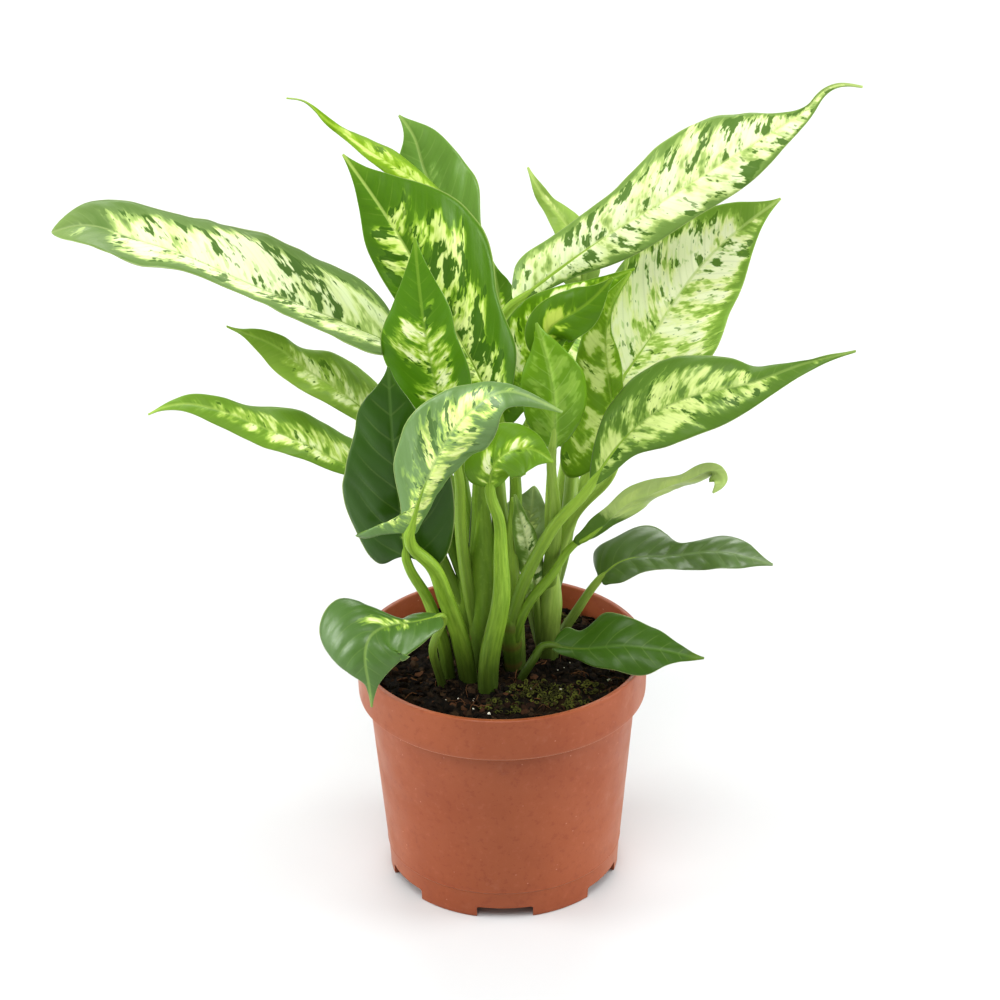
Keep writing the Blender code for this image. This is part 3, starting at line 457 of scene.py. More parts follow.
def blade_surface(row, u, v):
    """Points of the blade's middle surface, for shares u along it and v across it, -1 to 1."""
    mid, along, up, side = blade_frame(row, u)
    full = fullness(row, u)[:, None]
    a, left = np.abs(v)[None, :], (v < 0)[None, :]

    def halves(key):
        """The row's value, or its left and right value, on the blade's halves."""
        pair = np.broadcast_to(row[key], 2)
        return np.where(left, pair[0], pair[1])

    edge = halves("half") * np.where(left, flowing(u, row["left"])[:, None],
                                     flowing(u, row["right"])[:, None])
    width = edge * full + (BASE_HALF * (1 - u) + TIP_HALF * u)[:, None]
    ease = (1 - 0.35 * u)[:, None]
    fold = np.radians(halves("fold")) * ease
    curl = np.radians(halves("curl")) * 2 * ease
    curl = np.where(np.abs(curl) < 1e-3, 1e-3, curl)
    across = (np.sin(fold + curl * a) - np.sin(fold)) / curl
    rise = (np.cos(fold) - np.cos(fold + curl * a)) / curl
    turn = FULL_TURN * (WAVE_COUNT * u[:, None]) + np.where(left, 0.0, WAVE_SHIFT)
    ripple = WAVE_HEIGHT * a ** 2 * np.sin(turn) * np.sin(math.pi * np.clip(u, 0.02, 1))[:, None] ** 0.5
    near_base = np.clip(1 - u / LOBE_TO, 0, 1)[:, None]
    back = halves("lobe") * 2.2 * a ** 1.6 * full ** 1.6 * near_base
    out = mid[:, None, :] + side[:, None, :] * (np.sign(v)[None, :] * width * across)[:, :, None]
    out += up[:, None, :] * (width * rise + ripple)[:, :, None]
    return out - along[:, None, :] * back[:, :, None]


def even_ends(count):
    """Shares from 0 to 1, closer together at both ends."""
    return (1 - np.cos(np.linspace(0, math.pi, count + 1))) / 2


# ---------------------------------------------------------------- looks of the blades

def srgb(*levels):
    """A colour given as 0-255 levels, as the linear values that shaders take."""
    scaled = [level / 255 for level in levels]
    return tuple(c / 12.92 if c < 0.04045 else ((c + 0.055) / 1.055) ** 2.4 for c in scaled) + (1.0,)


def blend(a, b, share):
    return tuple(x + (y - x) * share for x, y in zip(a, b))


# How a blade is coloured and embossed where its row says nothing else.
PLAIN_LOOK = dict(
    lime=(152, 192, 52),  # colours inside the green border, out to the palest
    cream=(228, 240, 158),
    pale=(242, 250, 196),
    under=(124, 158, 60),  # colour of the underside
    extent=0.6,  # how far across the pale centre reaches
    start=0.05,  # where it lies along the blade
    end=0.9,
    bias=0,  # how much of it is pale
    dark=0.4,  # how many dark blotches it holds
    grain=1.25,  # their size
    feather=1,  # how streaked its border is
    patch=0.2,  # how blotched its border is
    relief=0.3,  # depth of the quilting between side veins
    spacing=7.5,  # of the side veins
    gloss=0.22,  # how strongly the upper side mirrors
    turned=0,  # share of the blade, from its base, where the underside is as dark as the border
)


def look(margin, **given):
    """One blade's look: its green border's colour, and what differs from PLAIN_LOOK.

    rib, the midrib's colour, lies between the border's and the centre's unless it is given."""
    row = dict(PLAIN_LOOK, margin=margin, **given)
    row["deep"] = blend(margin, (30, 74, 0), 0.45)
    row.setdefault("rib", blend(margin, row["cream"], 0.5))
    return row


LOOKS = {
    "leaf_front_arching": look((114, 147, 86), lime=(156, 188, 92), cream=(206, 228, 122),
        pale=(230, 242, 160), extent=0.66, start=0, end=0.88, bias=0.06, feather=1.3, gloss=0.4),
    "leaf_dark_left": look((50, 85, 14), rib=(86, 120, 48), lime=(96, 138, 40), extent=0.16, start=0,
        end=0.45, bias=-0.25, dark=0.2, relief=0.9, spacing=11, gloss=0.28),
    "leaf_low_left": look((84, 118, 52), lime=(136, 170, 66), cream=(190, 212, 110), extent=0.34,
        start=0.2, end=0.66, bias=-0.1, dark=0.5, feather=1.3, relief=0.5, gloss=0.5),
    "leaf_centre_left": look((86, 130, 18), rib=(198, 220, 120), lime=(146, 184, 56),
        cream=(206, 228, 122), pale=(228, 241, 160), extent=0.72, start=-0.05, end=0.84, bias=0.12,
        dark=1, grain=1.6, feather=1.2, patch=0.5),
    "leaf_small_upright": look((92, 140, 22), lime=(142, 182, 52), cream=(190, 216, 100), extent=0.62,
        start=0, end=0.74, bias=0.06, dark=0.6, feather=1.4),
    "leaf_long_left": look((116, 144, 80), lime=(174, 198, 116), cream=(220, 233, 166),
        pale=(233, 243, 198), extent=0.74, start=-0.05, end=0.93, bias=0.34, dark=0.55, grain=1.6,
        feather=0.75, patch=0.1),
    "leaf_left_middle": look((150, 182, 76), lime=(164, 194, 84), cream=(198, 218, 126), start=0, end=0.8,
        bias=0.02, dark=0.35, feather=1.3),
    "leaf_left_lower": look((128, 164, 60), lime=(166, 196, 86), cream=(210, 228, 130), start=0, end=0.82,
        bias=0.06, dark=0.3, feather=1.3),
    "leaf_lime_back_left": look((130, 168, 24), lime=(150, 184, 52), cream=(186, 208, 104),
        pale=(204, 222, 128), start=0, end=0.85, dark=0.3),
    "leaf_dark_back_left": look((114, 152, 66), lime=(144, 176, 92), extent=0.4, bias=-0.42, dark=0.3,
        relief=0.35),
    "leaf_back_left": look((92, 138, 30), extent=0.62),
    "leaf_centre_small": look((112, 152, 34), lime=(146, 184, 54), cream=(196, 220, 100), extent=0.5,
        start=0, end=0.8, bias=-0.06, dark=0.3, feather=1.6),
    "leaf_turned_centre": look((104, 146, 30), lime=(138, 176, 58), cream=(176, 206, 104),
        under=(104, 146, 26), extent=0.8, bias=-0.05, patch=1.3),
    "leaf_inner_centre": look((88, 130, 14), lime=(132, 170, 36), cream=(176, 204, 72),
        pale=(196, 216, 96), extent=0.5, start=0, end=0.6, bias=-0.08, feather=1.6),
    "leaf_right_arching": look((100, 134, 50), lime=(150, 180, 84), cream=(196, 216, 128),
        pale=(214, 230, 148), extent=0.66, start=0, end=0.78, bias=0.05, dark=0.35, feather=1.4),
    "leaf_right_twisted": look((78, 112, 28), lime=(150, 180, 76), under=(166, 188, 110), extent=0.7,
        bias=-0.1, turned=0.24),
    "leaf_low_right": look((64, 97, 22), rib=(88, 122, 44), lime=(164, 186, 52), extent=0, bias=-0.8,
        relief=0.2, gloss=0.28),
    "leaf_large_right": look((128, 158, 80), rib=(206, 226, 140), lime=(172, 196, 112),
        cream=(220, 234, 164), pale=(236, 245, 200), extent=0.8, start=-0.1, end=0.98, bias=0.31,
        dark=0.6, grain=1.4, feather=0.65, patch=0.7),
    "leaf_behind_centre": look((92, 130, 36), extent=0.3, bias=-0.35),
    "leaf_front_of_large": look((104, 148, 12), lime=(150, 190, 50), cream=(196, 222, 104), extent=0.85,
        dark=0.2, feather=0.9, patch=1.5),
    "leaf_upright_right": look((124, 164, 34), lime=(156, 190, 68), cream=(200, 220, 124),
        pale=(216, 232, 144), extent=0.85, start=0, end=0.97, bias=-0.05, dark=0.2, feather=0.9,
        patch=1.5),
    "leaf_back_right": look((138, 174, 70), rib=(206, 226, 140), lime=(180, 210, 104),
        cream=(240, 248, 180), pale=(250, 254, 216), extent=0.82, start=-0.05, bias=0.26, dark=0.45,
        patch=0.5),
    "leaf_lime_back": look((158, 186, 92), lime=(178, 202, 114), extent=0.4, dark=0.1),
    "leaf_right_green": look((92, 120, 58), rib=(124, 150, 90), lime=(134, 158, 94), extent=0, bias=-0.75,
        relief=0.7, gloss=0.9),
    "leaf_back_centre": look((92, 138, 30), extent=0.62, bias=0.02),
    "leaf_back_low": look((92, 132, 34), extent=0.4, bias=-0.1),
    # leaf_young_back: its pale grey-green colours are painted light, for light shining through the young
    # leaf, which sits in shadow
    "leaf_young_back": look((184, 204, 150), lime=(168, 190, 124), dark=0.2),
    "leaf_young_front": look((122, 154, 66), lime=(160, 186, 108), cream=(196, 214, 150), extent=0.7,
        bias=0.15, dark=0.3),
}
for number, row in enumerate(LOOKS.values(), 1):
    row["seed"] = number


# ---------------------------------------------------------------- shader helpers

class Graph:
    """Adds nodes to one tree; a value may be a number, a colour or another node's output."""

    def __init__(self, tree):
        self.tree = tree

    def feed(self, socket, value):
        if isinstance(value, bpy.types.NodeSocket):
            self.tree.links.new(value, socket)
        elif value is not None:
            socket.default_value = value

    def node(self, kind, inputs=(), **settings):
        """A node with these settings; inputs pairs sockets' names or numbers with their values."""
        made = self.tree.nodes.new(kind)
        for key, value in settings.items():
            setattr(made, key, value)
        for key, value in dict(inputs).items():
            self.feed(made.inputs[key], value)
        return made

    def math(self, operation, *values):
        return self.node("ShaderNodeMath", enumerate(values), operation=operation).outputs[0]

    def add(self, a, b):
        return self.math("ADD", a, b)

    def sub(self, a, b):
        return self.math("SUBTRACT", a, b)

    def mul(self, a, b):
        return self.math("MULTIPLY", a, b)

    def step(self, value, low, high, to_low=0.0, to_high=1.0):
        """A smooth step from to_low at low to to_high at high."""
        inputs = {"Value": value, "From Min": low, "From Max": high, "To Min": to_low, "To Max": to_high}
        return self.node("ShaderNodeMapRange", inputs, interpolation_type="SMOOTHSTEP").outputs["Result"]

    def ramp(self, value, *stops):
        """Blends through (value, colour) stops; the values lie in -1 to 1."""
        made = self.node("ShaderNodeValToRGB", {0: self.math("MULTIPLY_ADD", value, 0.5, 0.5)})
        elements = made.color_ramp.elements
        for at, color in stops[2:]:
            elements.new(0.5 + 0.5 * at)
        for element, (at, color) in zip(elements, stops):
            element.position = 0.5 + 0.5 * at
        for element, (at, color) in zip(elements, stops):
            element.color = color
        return made.outputs[0]

    def attribute(self, name):
        return self.node("ShaderNodeAttribute", attribute_name=name).outputs["Fac"]

    def object_place(self):
        return self.node("ShaderNodeTexCoord").outputs["Object"]

    def axis(self, place, number):
        return self.node("ShaderNodeSeparateXYZ", {0: place}).outputs[number]

    def place(self, x, y, z):
        return self.node("ShaderNodeCombineXYZ", enumerate((x, y, z))).outputs[0]

    def round_tube(self, radius, turn, z):
        """A place on a tube, so that a pattern closes round it."""
        return self.place(self.mul(self.math("COSINE", turn), radius),
                          self.mul(self.math("SINE", turn), radius), z)

    def shifted(self, place, shift):
        """The same place, moved, so that a pattern doesn't repeat another."""
        return self.node("ShaderNodeVectorMath", {0: place, 1: shift}, operation="ADD").outputs[0]

    def noise(self, at, scale=1.0, detail=2.0, rough=0.5):
        inputs = {"Vector": at, "Scale": scale, "Detail": detail, "Roughness": rough}
        return self.node("ShaderNodeTexNoise", inputs, noise_dimensions="3D").outputs[0]

    def cells(self, at, scale):
        return self.node("ShaderNodeTexVoronoi", {"Vector": at, "Scale": scale}).outputs["Distance"]

    def mix(self, share, a, b):
        return self.node("ShaderNodeMix", {"Factor": share, 6: a, 7: b}, data_type="RGBA").outputs[2]

    def paint(self, color, share, rgb):
        """The colour, turned by this share towards 0-255 levels."""
        return self.mix(share, color, srgb(*rgb))

    def tint(self, color, rgb, value, low, high, most=1.0):
        """The colour, turned towards rgb by up to `most` as the value goes from low to high."""
        return self.paint(color, self.step(value, low, high, 0.0, most), rgb)


def new_material(name, roughness, specular):
    """A material whose shader waits for its colour, roughness and bump."""
    made = bpy.data.materials.new(name)
    made.use_nodes = True
    shader = made.node_tree.nodes["Principled BSDF"]
    shader.inputs["Roughness"].default_value = roughness
    shader.inputs["Specular IOR Level"].default_value = specular
    return made, Graph(made.node_tree), shader


def finish_shader(graph, shader, color, rough=None, height=None, strength=0.0, distance=0.0004):
    graph.feed(shader.inputs["Base Color"], color)
    graph.feed(shader.inputs["Roughness"], rough)
    if height is not None:
        bump = graph.node("ShaderNodeBump", {"Strength": strength, "Distance": distance, "Height": height})
        graph.feed(shader.inputs["Normal"], bump.outputs[0])


DARK_GREEN = (40, 80, 0)
SEED_APART = 7.31  # keeps the noise of one blade away from the next one's
# Painted shade: petioles are coloured darker towards the soil, from FOOT_SHADE_TOP down to FOOT_SHADE_FULL
FOOT_SHADE_TOP = SOIL_TOP + 40  # petioles darken from here down to FOOT_SHADE_FULL
FOOT_SHADE_FULL = SOIL_TOP + 8


def leaf_material(name, row):
    """Variegation that follows the side veins: a pale feathered centre, a green margin, blotches."""
    made, g, shader = new_material(name, roughness=0.38, specular=row["gloss"])
    along, cross, vein, off, face = map(g.attribute, ("along", "cross", "vein", "off", "face"))
    seed = row["seed"] * SEED_APART
    grain = 1.0 / row["grain"]
    edge, midrib = g.math("ABSOLUTE", cross), g.math("ABSOLUTE", off)
    side = g.math("SIGN", off)
    run = g.add(g.mul(vein, DRIFT), g.mul(midrib, ALONG_VEIN))

    def streaks(across, long, turn, detail=2.0, rough=0.55):
        """Noise with this many features per mm across the side veins and along them."""
        at = g.place(g.mul(vein, across * grain / ALONG_VEIN), g.mul(run, long * grain),
                     g.math("MULTIPLY_ADD", side, 4.7, seed + turn))
        return g.sub(g.noise(at, detail=detail, rough=rough), 0.5)

    # The field is high in the pale centre and low in the green border
    broad = streaks(0.085, 0.045, 0.0)
    middle = streaks(0.26, 0.075, 3.0, 2.5, 0.5)
    small = streaks(0.85, 0.22, 6.0)
    patches = streaks(0.20, 0.13, 21.0, 2.5, 0.6)
    mixed = g.add(g.mul(broad, 1.5), g.mul(middle, 1.9 * row["feather"]))
    mixed = g.add(g.add(mixed, g.mul(small, 0.75 * row["feather"])), g.mul(patches, 2.4 * row["patch"]))
    start, end, extent = row["start"], row["end"], row["extent"]
    begin = g.step(along, start - 0.04, start + 0.10, -0.7, 0.0)
    stop = g.step(along, end - 0.22, end + 0.03, 0.0, -0.8)
    out = g.step(edge, extent - 0.22, extent + 0.28, 0.0, -1.0)
    field = g.add(g.add(g.add(begin, stop), out), g.add(mixed, row["bias"]))

    margin, lime, cream, deep = row["margin"], row["lime"], row["cream"], row["deep"]
    tone = g.add(g.mul(field, 0.9), g.mul(small, 0.25))
    tone = g.math("MINIMUM", g.math("MAXIMUM", tone, -0.9), 0.9)
    stops = ((-0.50, blend(margin, DARK_GREEN, 0.12)), (-0.24, margin), (-0.16, blend(margin, lime, 0.6)),
             (-0.06, lime), (0.0, blend(lime, cream, 0.5)), (0.06, cream), (0.34, row["pale"]))
    color = g.ramp(tone, *((at, srgb(*rgb)) for at, rgb in stops))
    flecks = g.mul(g.step(streaks(0.55, 0.17, 9.0), 0.10, 0.17), g.step(field, -0.62, -0.36))
    color = g.paint(color, g.mul(flecks, 0.55), lime)

    # Dark blotches and specks inside the pale centre
    inside = g.step(field, -0.40, -0.16)
    dark = 0.16 * row["dark"]
    spots = g.add(g.mul(streaks(0.34, 0.115, 11.0, 3.0, 0.6), 0.95), g.mul(streaks(1.0, 0.3, 14.0), 0.25))
    spots = g.add(spots, g.mul(streaks(0.07, 0.05, 27.0, 1.0), 0.35))
    spots = g.add(spots, g.step(edge, 0.25, 0.9, dark - 0.19, dark - 0.12))
    rim = g.mul(g.step(spots, -0.05, 0.0), g.mul(inside, 0.6))
    color = g.paint(color, rim, blend(margin, lime, 0.75))
    color = g.paint(color, g.mul(g.step(spots, 0.0, 0.012), g.mul(inside, 0.95)), deep)
    specks = g.add(streaks(0.9, 0.32, 17.0, 1.0), 0.10 * row["dark"] - 0.225)
    speck = g.mul(g.step(specks, 0.0, 0.03), g.mul(inside, 0.7))
    color = g.paint(color, speck, blend(margin, deep, 0.5))

    # Side veins, tip, midrib and the pale line of the margin
    wave = g.math("COSINE", g.mul(vein, FULL_TURN / row["spacing"]))
    line = g.mul(g.step(wave, 0.93, 1.0), g.step(edge, 0.97, 0.4, 0.0, 1.0))
    color = g.paint(color, g.mul(line, 0.14), blend(margin, cream, 0.5))
    color = g.paint(color, g.mul(g.step(wave, -0.8, -1.0), 0.10), deep)
    color = g.tint(color, lime, along, 0.86, 1.0, 0.25)
    color = g.tint(color, row["rib"], midrib, 0.9, 0.25, 0.55)
    color = g.tint(color, (202, 216, 140), edge, 0.972, 0.995, 0.4)

    # The underside
    below = row["under"]
    under = g.tint(srgb(*below), blend(lime, cream, 0.5), field, -0.25, 0.1, 0.55)
    under = g.tint(under, blend(below, DARK_GREEN, 0.15), small, -0.08, 0.12, 0.3)
    under = g.paint(under, g.mul(line, 0.2), blend(below, (220, 232, 170), 0.6))
    under = g.tint(under, (172, 200, 104), midrib, 1.3, 0.5, 0.25)
    if row["turned"]:
        base = g.add(along, g.mul(small, 0.12))
        under = g.tint(under, margin, base, row["turned"] + 0.03, row["turned"] - 0.03)
    color = g.mix(g.step(face, -0.2, 0.2), under, color)

    dull = g.noise(g.place(g.mul(vein, 0.5), g.mul(off, 0.5), seed))
    height = g.add(g.mul(wave, -0.15), g.mul(small, 0.5))
    fine = g.noise(g.place(g.mul(vein, 2.2), g.mul(off, 2.2), seed), detail=1.0)
    height = g.add(height, g.mul(fine, 0.3))
    finish_shader(g, shader, color, g.step(dull, 0.3, 0.7, 0.30, 0.42), height, strength=0.2, distance=0.0005)
    return made


def stem_material(name, dull, bright, foot_shade):
    """Long streaks between two greens, a tone for each petiole, and painted shade that darkens the lower
    petioles and the foot.
    """
    made, g, shader = new_material(name, roughness=0.4, specular=0.25)
    reach, turn, seed = map(g.attribute, ("reach", "turn", "seed"))
    long, short = g.add(g.mul(reach, 0.05), seed), g.add(g.mul(reach, 0.4), seed)
    streak = g.noise(g.round_tube(1.6, turn, long), scale=1.8, detail=3.0, rough=0.6)
    fleck = g.noise(g.round_tube(3.0, turn, short), scale=1.6)
    color = g.tint(srgb(*dull), bright, streak, 0.30, 0.70)
    tone = g.math("SINE", g.mul(seed, 2.3))
    color = g.tint(color, (96, 128, 34), tone, 0.0, 1.0, 0.45)
    color = g.tint(color, (176, 204, 92), tone, 0.0, -1.0, 0.35)
    color = g.tint(color, (172, 198, 88), fleck, 0.56, 0.72, 0.18)
    # Painted shade: darker along each tube towards its foot, and darker still low down near the soil
    color = g.tint(color, (58, 86, 18), reach, 80.0, 4.0, 0.62)
    low = g.add(g.axis(g.object_place(), 2), g.mul(streak, 0.012))
    color = g.tint(color, (36, 50, 12), low, FOOT_SHADE_TOP * MM, FOOT_SHADE_FULL * MM, foot_shade)
    color = g.paint(color, g.mul(g.attribute("scar"), 0.75), (92, 66, 34))
    rough = g.step(fleck, 0.3, 0.7, 0.36, 0.5)
    finish_shader(g, shader, color, rough, g.add(streak, g.mul(fleck, 0.3)), strength=0.15)
    return made


def pot_material():
    """Moulded terracotta-brown plastic, finely mottled and a little dusty, with a painted highlight along the
    band's lower edge.
    """
    made, g, shader = new_material("terracotta_plastic_fine", roughness=0.38, specular=0.4)
    shader.inputs["Sheen Weight"].default_value = 0.16
    shader.inputs["Sheen Tint"].default_value = (1.0, 0.62, 0.38, 1.0)
    shader.inputs["Sheen Roughness"].default_value = 0.4
    at = g.object_place()
    cloud = g.noise(at, scale=20.0, detail=3.0, rough=0.6)
    mottle = g.noise(at, scale=320.0, detail=3.0, rough=0.65)
    grain = g.noise(at, scale=1100.0, detail=1.0)
    color = g.tint(srgb(146, 73, 38), (156, 83, 47), cloud, 0.3, 0.7)
    color = g.tint(color, (128, 54, 28), mottle, 0.54, 0.68, 0.34)
    color = g.tint(color, (170, 96, 66), mottle, 0.44, 0.30, 0.30)
    color = g.tint(color, (112, 46, 26), g.cells(at, 300.0), 0.12, 0.05, 0.36)
    color = g.tint(color, (206, 150, 124), g.cells(g.shifted(at, (3.1, 1.7, 0.4)), 170.0), 0.07, 0.03, 0.5)
    dust = g.step(g.noise(at, scale=60.0, detail=4.0, rough=0.7), 0.60, 0.78)
    color = g.paint(color, g.mul(dust, 0.16), (192, 144, 122))
    # Painted highlight: a pale line along the band's lower edge, where it catches the light
    lip = g.math("ABSOLUTE", g.sub(g.axis(at, 2), BAND_BOTTOM * MM + 0.0004))
    color = g.tint(color, (204, 146, 116), lip, 0.0008, 0.0002, 0.22)
    rough = g.step(g.noise(at, scale=70.0), 0.3, 0.7, 0.34, 0.48)
    finish_shader(g, shader, color, rough, g.add(g.mul(grain, 0.5), mottle), strength=0.10)
    return made


def soil_material():
    """Nearly black peat, browner where it is dry."""
    made, g, shader = new_material("peat_soil_fine", roughness=0.95, specular=0.1)
    at = g.object_place()
    lumps = g.noise(at, scale=420.0, detail=4.0, rough=0.7)
    dry = g.noise(at, scale=55.0)
    color = g.tint(srgb(10, 8, 5), (40, 30, 20), lumps, 0.38, 0.68)
    color = g.tint(color, (62, 46, 28), dry, 0.5, 0.68, 0.45)
    rough = g.step(dry, 0.35, 0.6, 0.7, 0.97)
    finish_shader(g, shader, color, rough, lumps, strength=0.8, distance=0.0012)
    return made


def lump_material(name, dark, light, fleck, rough=0.9):
    """For crumbs, grains and fibres: each grain has its own tone from the `tone` attribute."""
    made, g, shader = new_material(name, roughness=rough, specular=0.12)
    fine = g.noise(g.object_place(), scale=1400.0, rough=0.6)
    color = g.paint(srgb(*dark), g.attribute("tone"), light)
    color = g.tint(color, fleck, fine, 0.5, 0.7, 0.4)
    finish_shader(g, shader, color, None, fine, strength=0.5)
    return made


def floor_material():
    made, g, shader = new_material("studio_paper", roughness=0.8, specular=0.2)
    cloud = g.noise(g.object_place(), scale=3.0)
    finish_shader(g, shader, g.tint(srgb(214, 216, 217), (217, 219, 220), cloud, 0.3, 0.7))
    return made


# ---------------------------------------------------------------- meshes

def piece(name, mesh, finish, slot, *nodes):
    """A piece of the object: rides on the one body, and stands for the CAD nodes named."""
    made = bpy.data.objects.new(name, mesh)
    bpy.context.scene.collection.objects.link(made)
    mesh.materials.append(finish)
    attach(made, "root")
    if nodes:
        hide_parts(*nodes)
    return made


def set_attribute(mesh, name, values):
    layer = mesh.attributes.new(name, "FLOAT", "POINT")
    layer.data.foreach_set("value", np.asarray(values, np.float32).ravel())


def mesh_from(name, points, faces, smooth=True):
    """A mesh from points in millimetres about the pot's axis."""
    mesh = bpy.data.meshes.new(name)
    placed = np.asarray(points, float) * MM + AXIS
    mesh.from_pydata(placed.tolist(), [], faces)
    mesh.update()
    if smooth:
        mesh.shade_smooth()
    return mesh


def outwards(mesh):
    """Turns the faces of closed shapes outwards."""
    shape = bmesh.new()
    shape.from_mesh(mesh)
    bmesh.ops.recalc_face_normals(shape, faces=shape.faces)
    shape.to_mesh(mesh)
    shape.free()
    return mesh


def grid_faces(rows, columns, start=0, flip=False, wrap=False):
    """Quads of a grid of points, row by row; wrap closes each row into a ring."""
    found = []
    for r in range(rows - 1):
        for c in range(columns if wrap else columns - 1):
            a = start + r * columns + c
            b = start + r * columns + (c + 1) % columns
            quad = (a, b, b + columns, a + columns)
            found.append(quad[::-1] if flip else quad)
    return found


def tube_faces(rows, sides, start):
    """Faces of a tube of rings, with one many-sided face at each end."""
    last = start + (rows - 1) * sides
    faces = grid_faces(rows, sides, start, wrap=True)
    faces.append(tuple(range(start, start + sides))[::-1])
    faces.append(tuple(range(last, last + sides)))
    return faces


def fan_closed(name, points, steps, ends):
    """A mesh of rings of points, closed by a fan round each of the two end points."""
    count = len(points)
    faces = grid_faces(count // steps, steps, wrap=True)
    tail = count - steps
    for i in range(steps):
        after = (i + 1) % steps
        faces.append((count, after, i))
        faces.append((count + 1, tail + i, tail + after))
    return outwards(mesh_from(name, points + ends, faces))


def ring_angles(count):
    return np.linspace(0, FULL_TURN, count, endpoint=False)


def ring_points(radius, z, angles):
    return [(radius * math.cos(a), radius * math.sin(a), z) for a in angles]


# ---------------------------------------------------------------- blades

def lengths_along(points, axis):
    """Running length of the points along an axis of the grid."""
    steps = np.linalg.norm(np.diff(points, axis=axis), axis=2)
    zero = np.zeros_like(np.take(steps, [0], axis=axis))
    return np.cumsum(np.concatenate([zero, steps], axis=axis), axis=axis)


def soft_noise(x, y, seed):
    """Smooth noise, -1 to 1, at the grid's places in millimetres."""
    flat = [noise.noise((a, b, seed)) for a, b in zip(x.ravel(), y.ravel())]
    return np.array(flat).reshape(x.shape)


def blade_grid(row, style):
    """The blade's upper and lower points with what the shader reads at each of them."""
    u = 0.5 * even_ends(BLADE_ROWS) + 0.5 * np.linspace(0, 1, BLADE_ROWS + 1)
    w = np.linspace(-1, 1, BLADE_COLUMNS + 1)
    v = 0.6 * w + 0.4 * w ** 3
    middle = blade_surface(row, u, v)
    up = blade_frame(row, u)[2]
    normal = unit(np.cross(np.gradient(middle, axis=1), np.gradient(middle, axis=0)))
    normal *= np.sign(np.sum(normal * up[:, None, :], axis=2, keepdims=True))
    centre = BLADE_COLUMNS // 2
    off = lengths_along(middle, 1)
    off = off - off[:, centre:centre + 1]
    length = lengths_along(middle[:, centre:centre + 1], 0)
    away = np.abs(off)
    vein = length - VEIN_LEAN * away - VEIN_BEND * away ** 2
    edge = np.abs(v)[None, :] * np.ones_like(off)
    ends = np.sin(math.pi * np.clip(u, 0.0, 1.0))[:, None] ** 0.5
    quilt = np.abs(np.sin(math.pi * vein / style["spacing"])) ** 0.7 - 0.6
    relief = style["relief"] * quilt * np.clip(away / QUILT_FROM, 0, 1) * (1 - edge ** 6) * ends
    salt = style["seed"]
    frill = soft_noise(length / RUFFLE_LONG + 0 * off, np.sign(off) * 5, salt)
    swell = soft_noise(vein / SWELL_LONG, off / SWELL_WIDE, salt + 40)
    relief = relief + RUFFLE * edge ** 3 * ends * frill
    relief = relief + SWELL * ends * np.clip(away / SWELL_FROM, 0, 1) * swell
    groove = -GROOVE * np.exp(-(off / GROOVE_WIDE) ** 2) * (1 - u)[:, None] ** 0.4
    rib_wide = RIB_WIDE - RIB_NARROWS * u[:, None]
    rib = RIB_DEPTH * (1 - u)[:, None] ** 0.8 * np.exp(-(off / rib_wide) ** 2)
    half = BLADE_THICK / 2 * (1 - 0.5 * edge ** 8)
    top = middle + normal * (relief + half + groove)[:, :, None]
    low = middle + normal * (relief - half - rib)[:, :, None]
    facts = dict(along=u[:, None] + 0 * off, cross=v[None, :] + 0 * off, vein=vein, off=off)
    return top, low, facts


def border_ring(rows, columns):
    """Numbers of a grid's border points, once round."""
    ring = list(range(columns))
    ring += [r * columns + columns - 1 for r in range(1, rows)]
    ring += [(rows - 1) * columns + c for c in range(columns - 2, -1, -1)]
    return ring + [r * columns for r in range(rows - 2, 0, -1)]


def lay_out(mesh, facts):
    """Places for a baked texture: the upper side on the left half, the lower on the right."""
    margin, wide, long, second = 0.01, 0.47, 0.98, 0.52
    across, along = facts["cross"].ravel() * 0.5 + 0.5, facts["along"].ravel()
    places = [np.stack([start + wide * across, margin + long * along], axis=1) for start in (margin, second)]
    corners = np.empty(len(mesh.loops), np.int32)
    mesh.loops.foreach_get("vertex_index", corners)
    layer = mesh.uv_layers.new(name="OFBake")
    layer.data.foreach_set("uv", np.concatenate(places)[corners].astype(np.float32).ravel())


def build_blade(name, row, style):
    top, low, facts = blade_grid(row, style)
    rows, columns = top.shape[:2]
    count = rows * columns
    points = np.concatenate([top.reshape(-1, 3), low.reshape(-1, 3)])
    faces = grid_faces(rows, columns) + grid_faces(rows, columns, count, flip=True)
    ring = border_ring(rows, columns)
    for a, b in zip(ring, ring[1:] + ring[:1]):
        faces.append((b, a, a + count, b + count))
    mesh = mesh_from(name + "_blade", points, faces)
    for key, values in facts.items():
        set_attribute(mesh, key, np.tile(values.ravel(), 2))
    set_attribute(mesh, "face", np.repeat([1.0, -1.0], count))
    lay_out(mesh, facts)
    outwards(mesh)
    piece(name + "_blade", mesh, leaf_material(name + "_skin", style), name, name)


# ---------------------------------------------------------------- stems

SHEATHS = {  # old sheaths round the foot of a shoot: points and radius
    "stem_main": (([(-7, -7, 94), (-7, -7, 116), (-7, -4, 146), (-8, -2, 190)], 5.4),
                  ([(-13, -4, 94), (-14, -4, 116), (-15, -2, 136), (-17, 0, 160)], 4.2)),
    "stem_right": (([(6, -9, 94), (5, -9, 112), (4, -6, 140), (5, -1, 172)], 4.0),),
    "stem_back_right": (([(19, 3, 94), (19, 2, 110), (20, 1, 130), (21, 1, 156)], 4.4),),
}


def tube_frames(points, first=(0.3, 1.0, 0.2)):
    """Two sides of the line at each point, turning as little as they can."""
    along = unit(np.gradient(points, axis=0))
    side = unit(np.cross(along[0], first))
    sides = []
    for t in along:
        side = unit(side - np.dot(side, t) * t)
        sides.append(side)
    sides = np.array(sides)
    return sides, np.cross(along, sides)


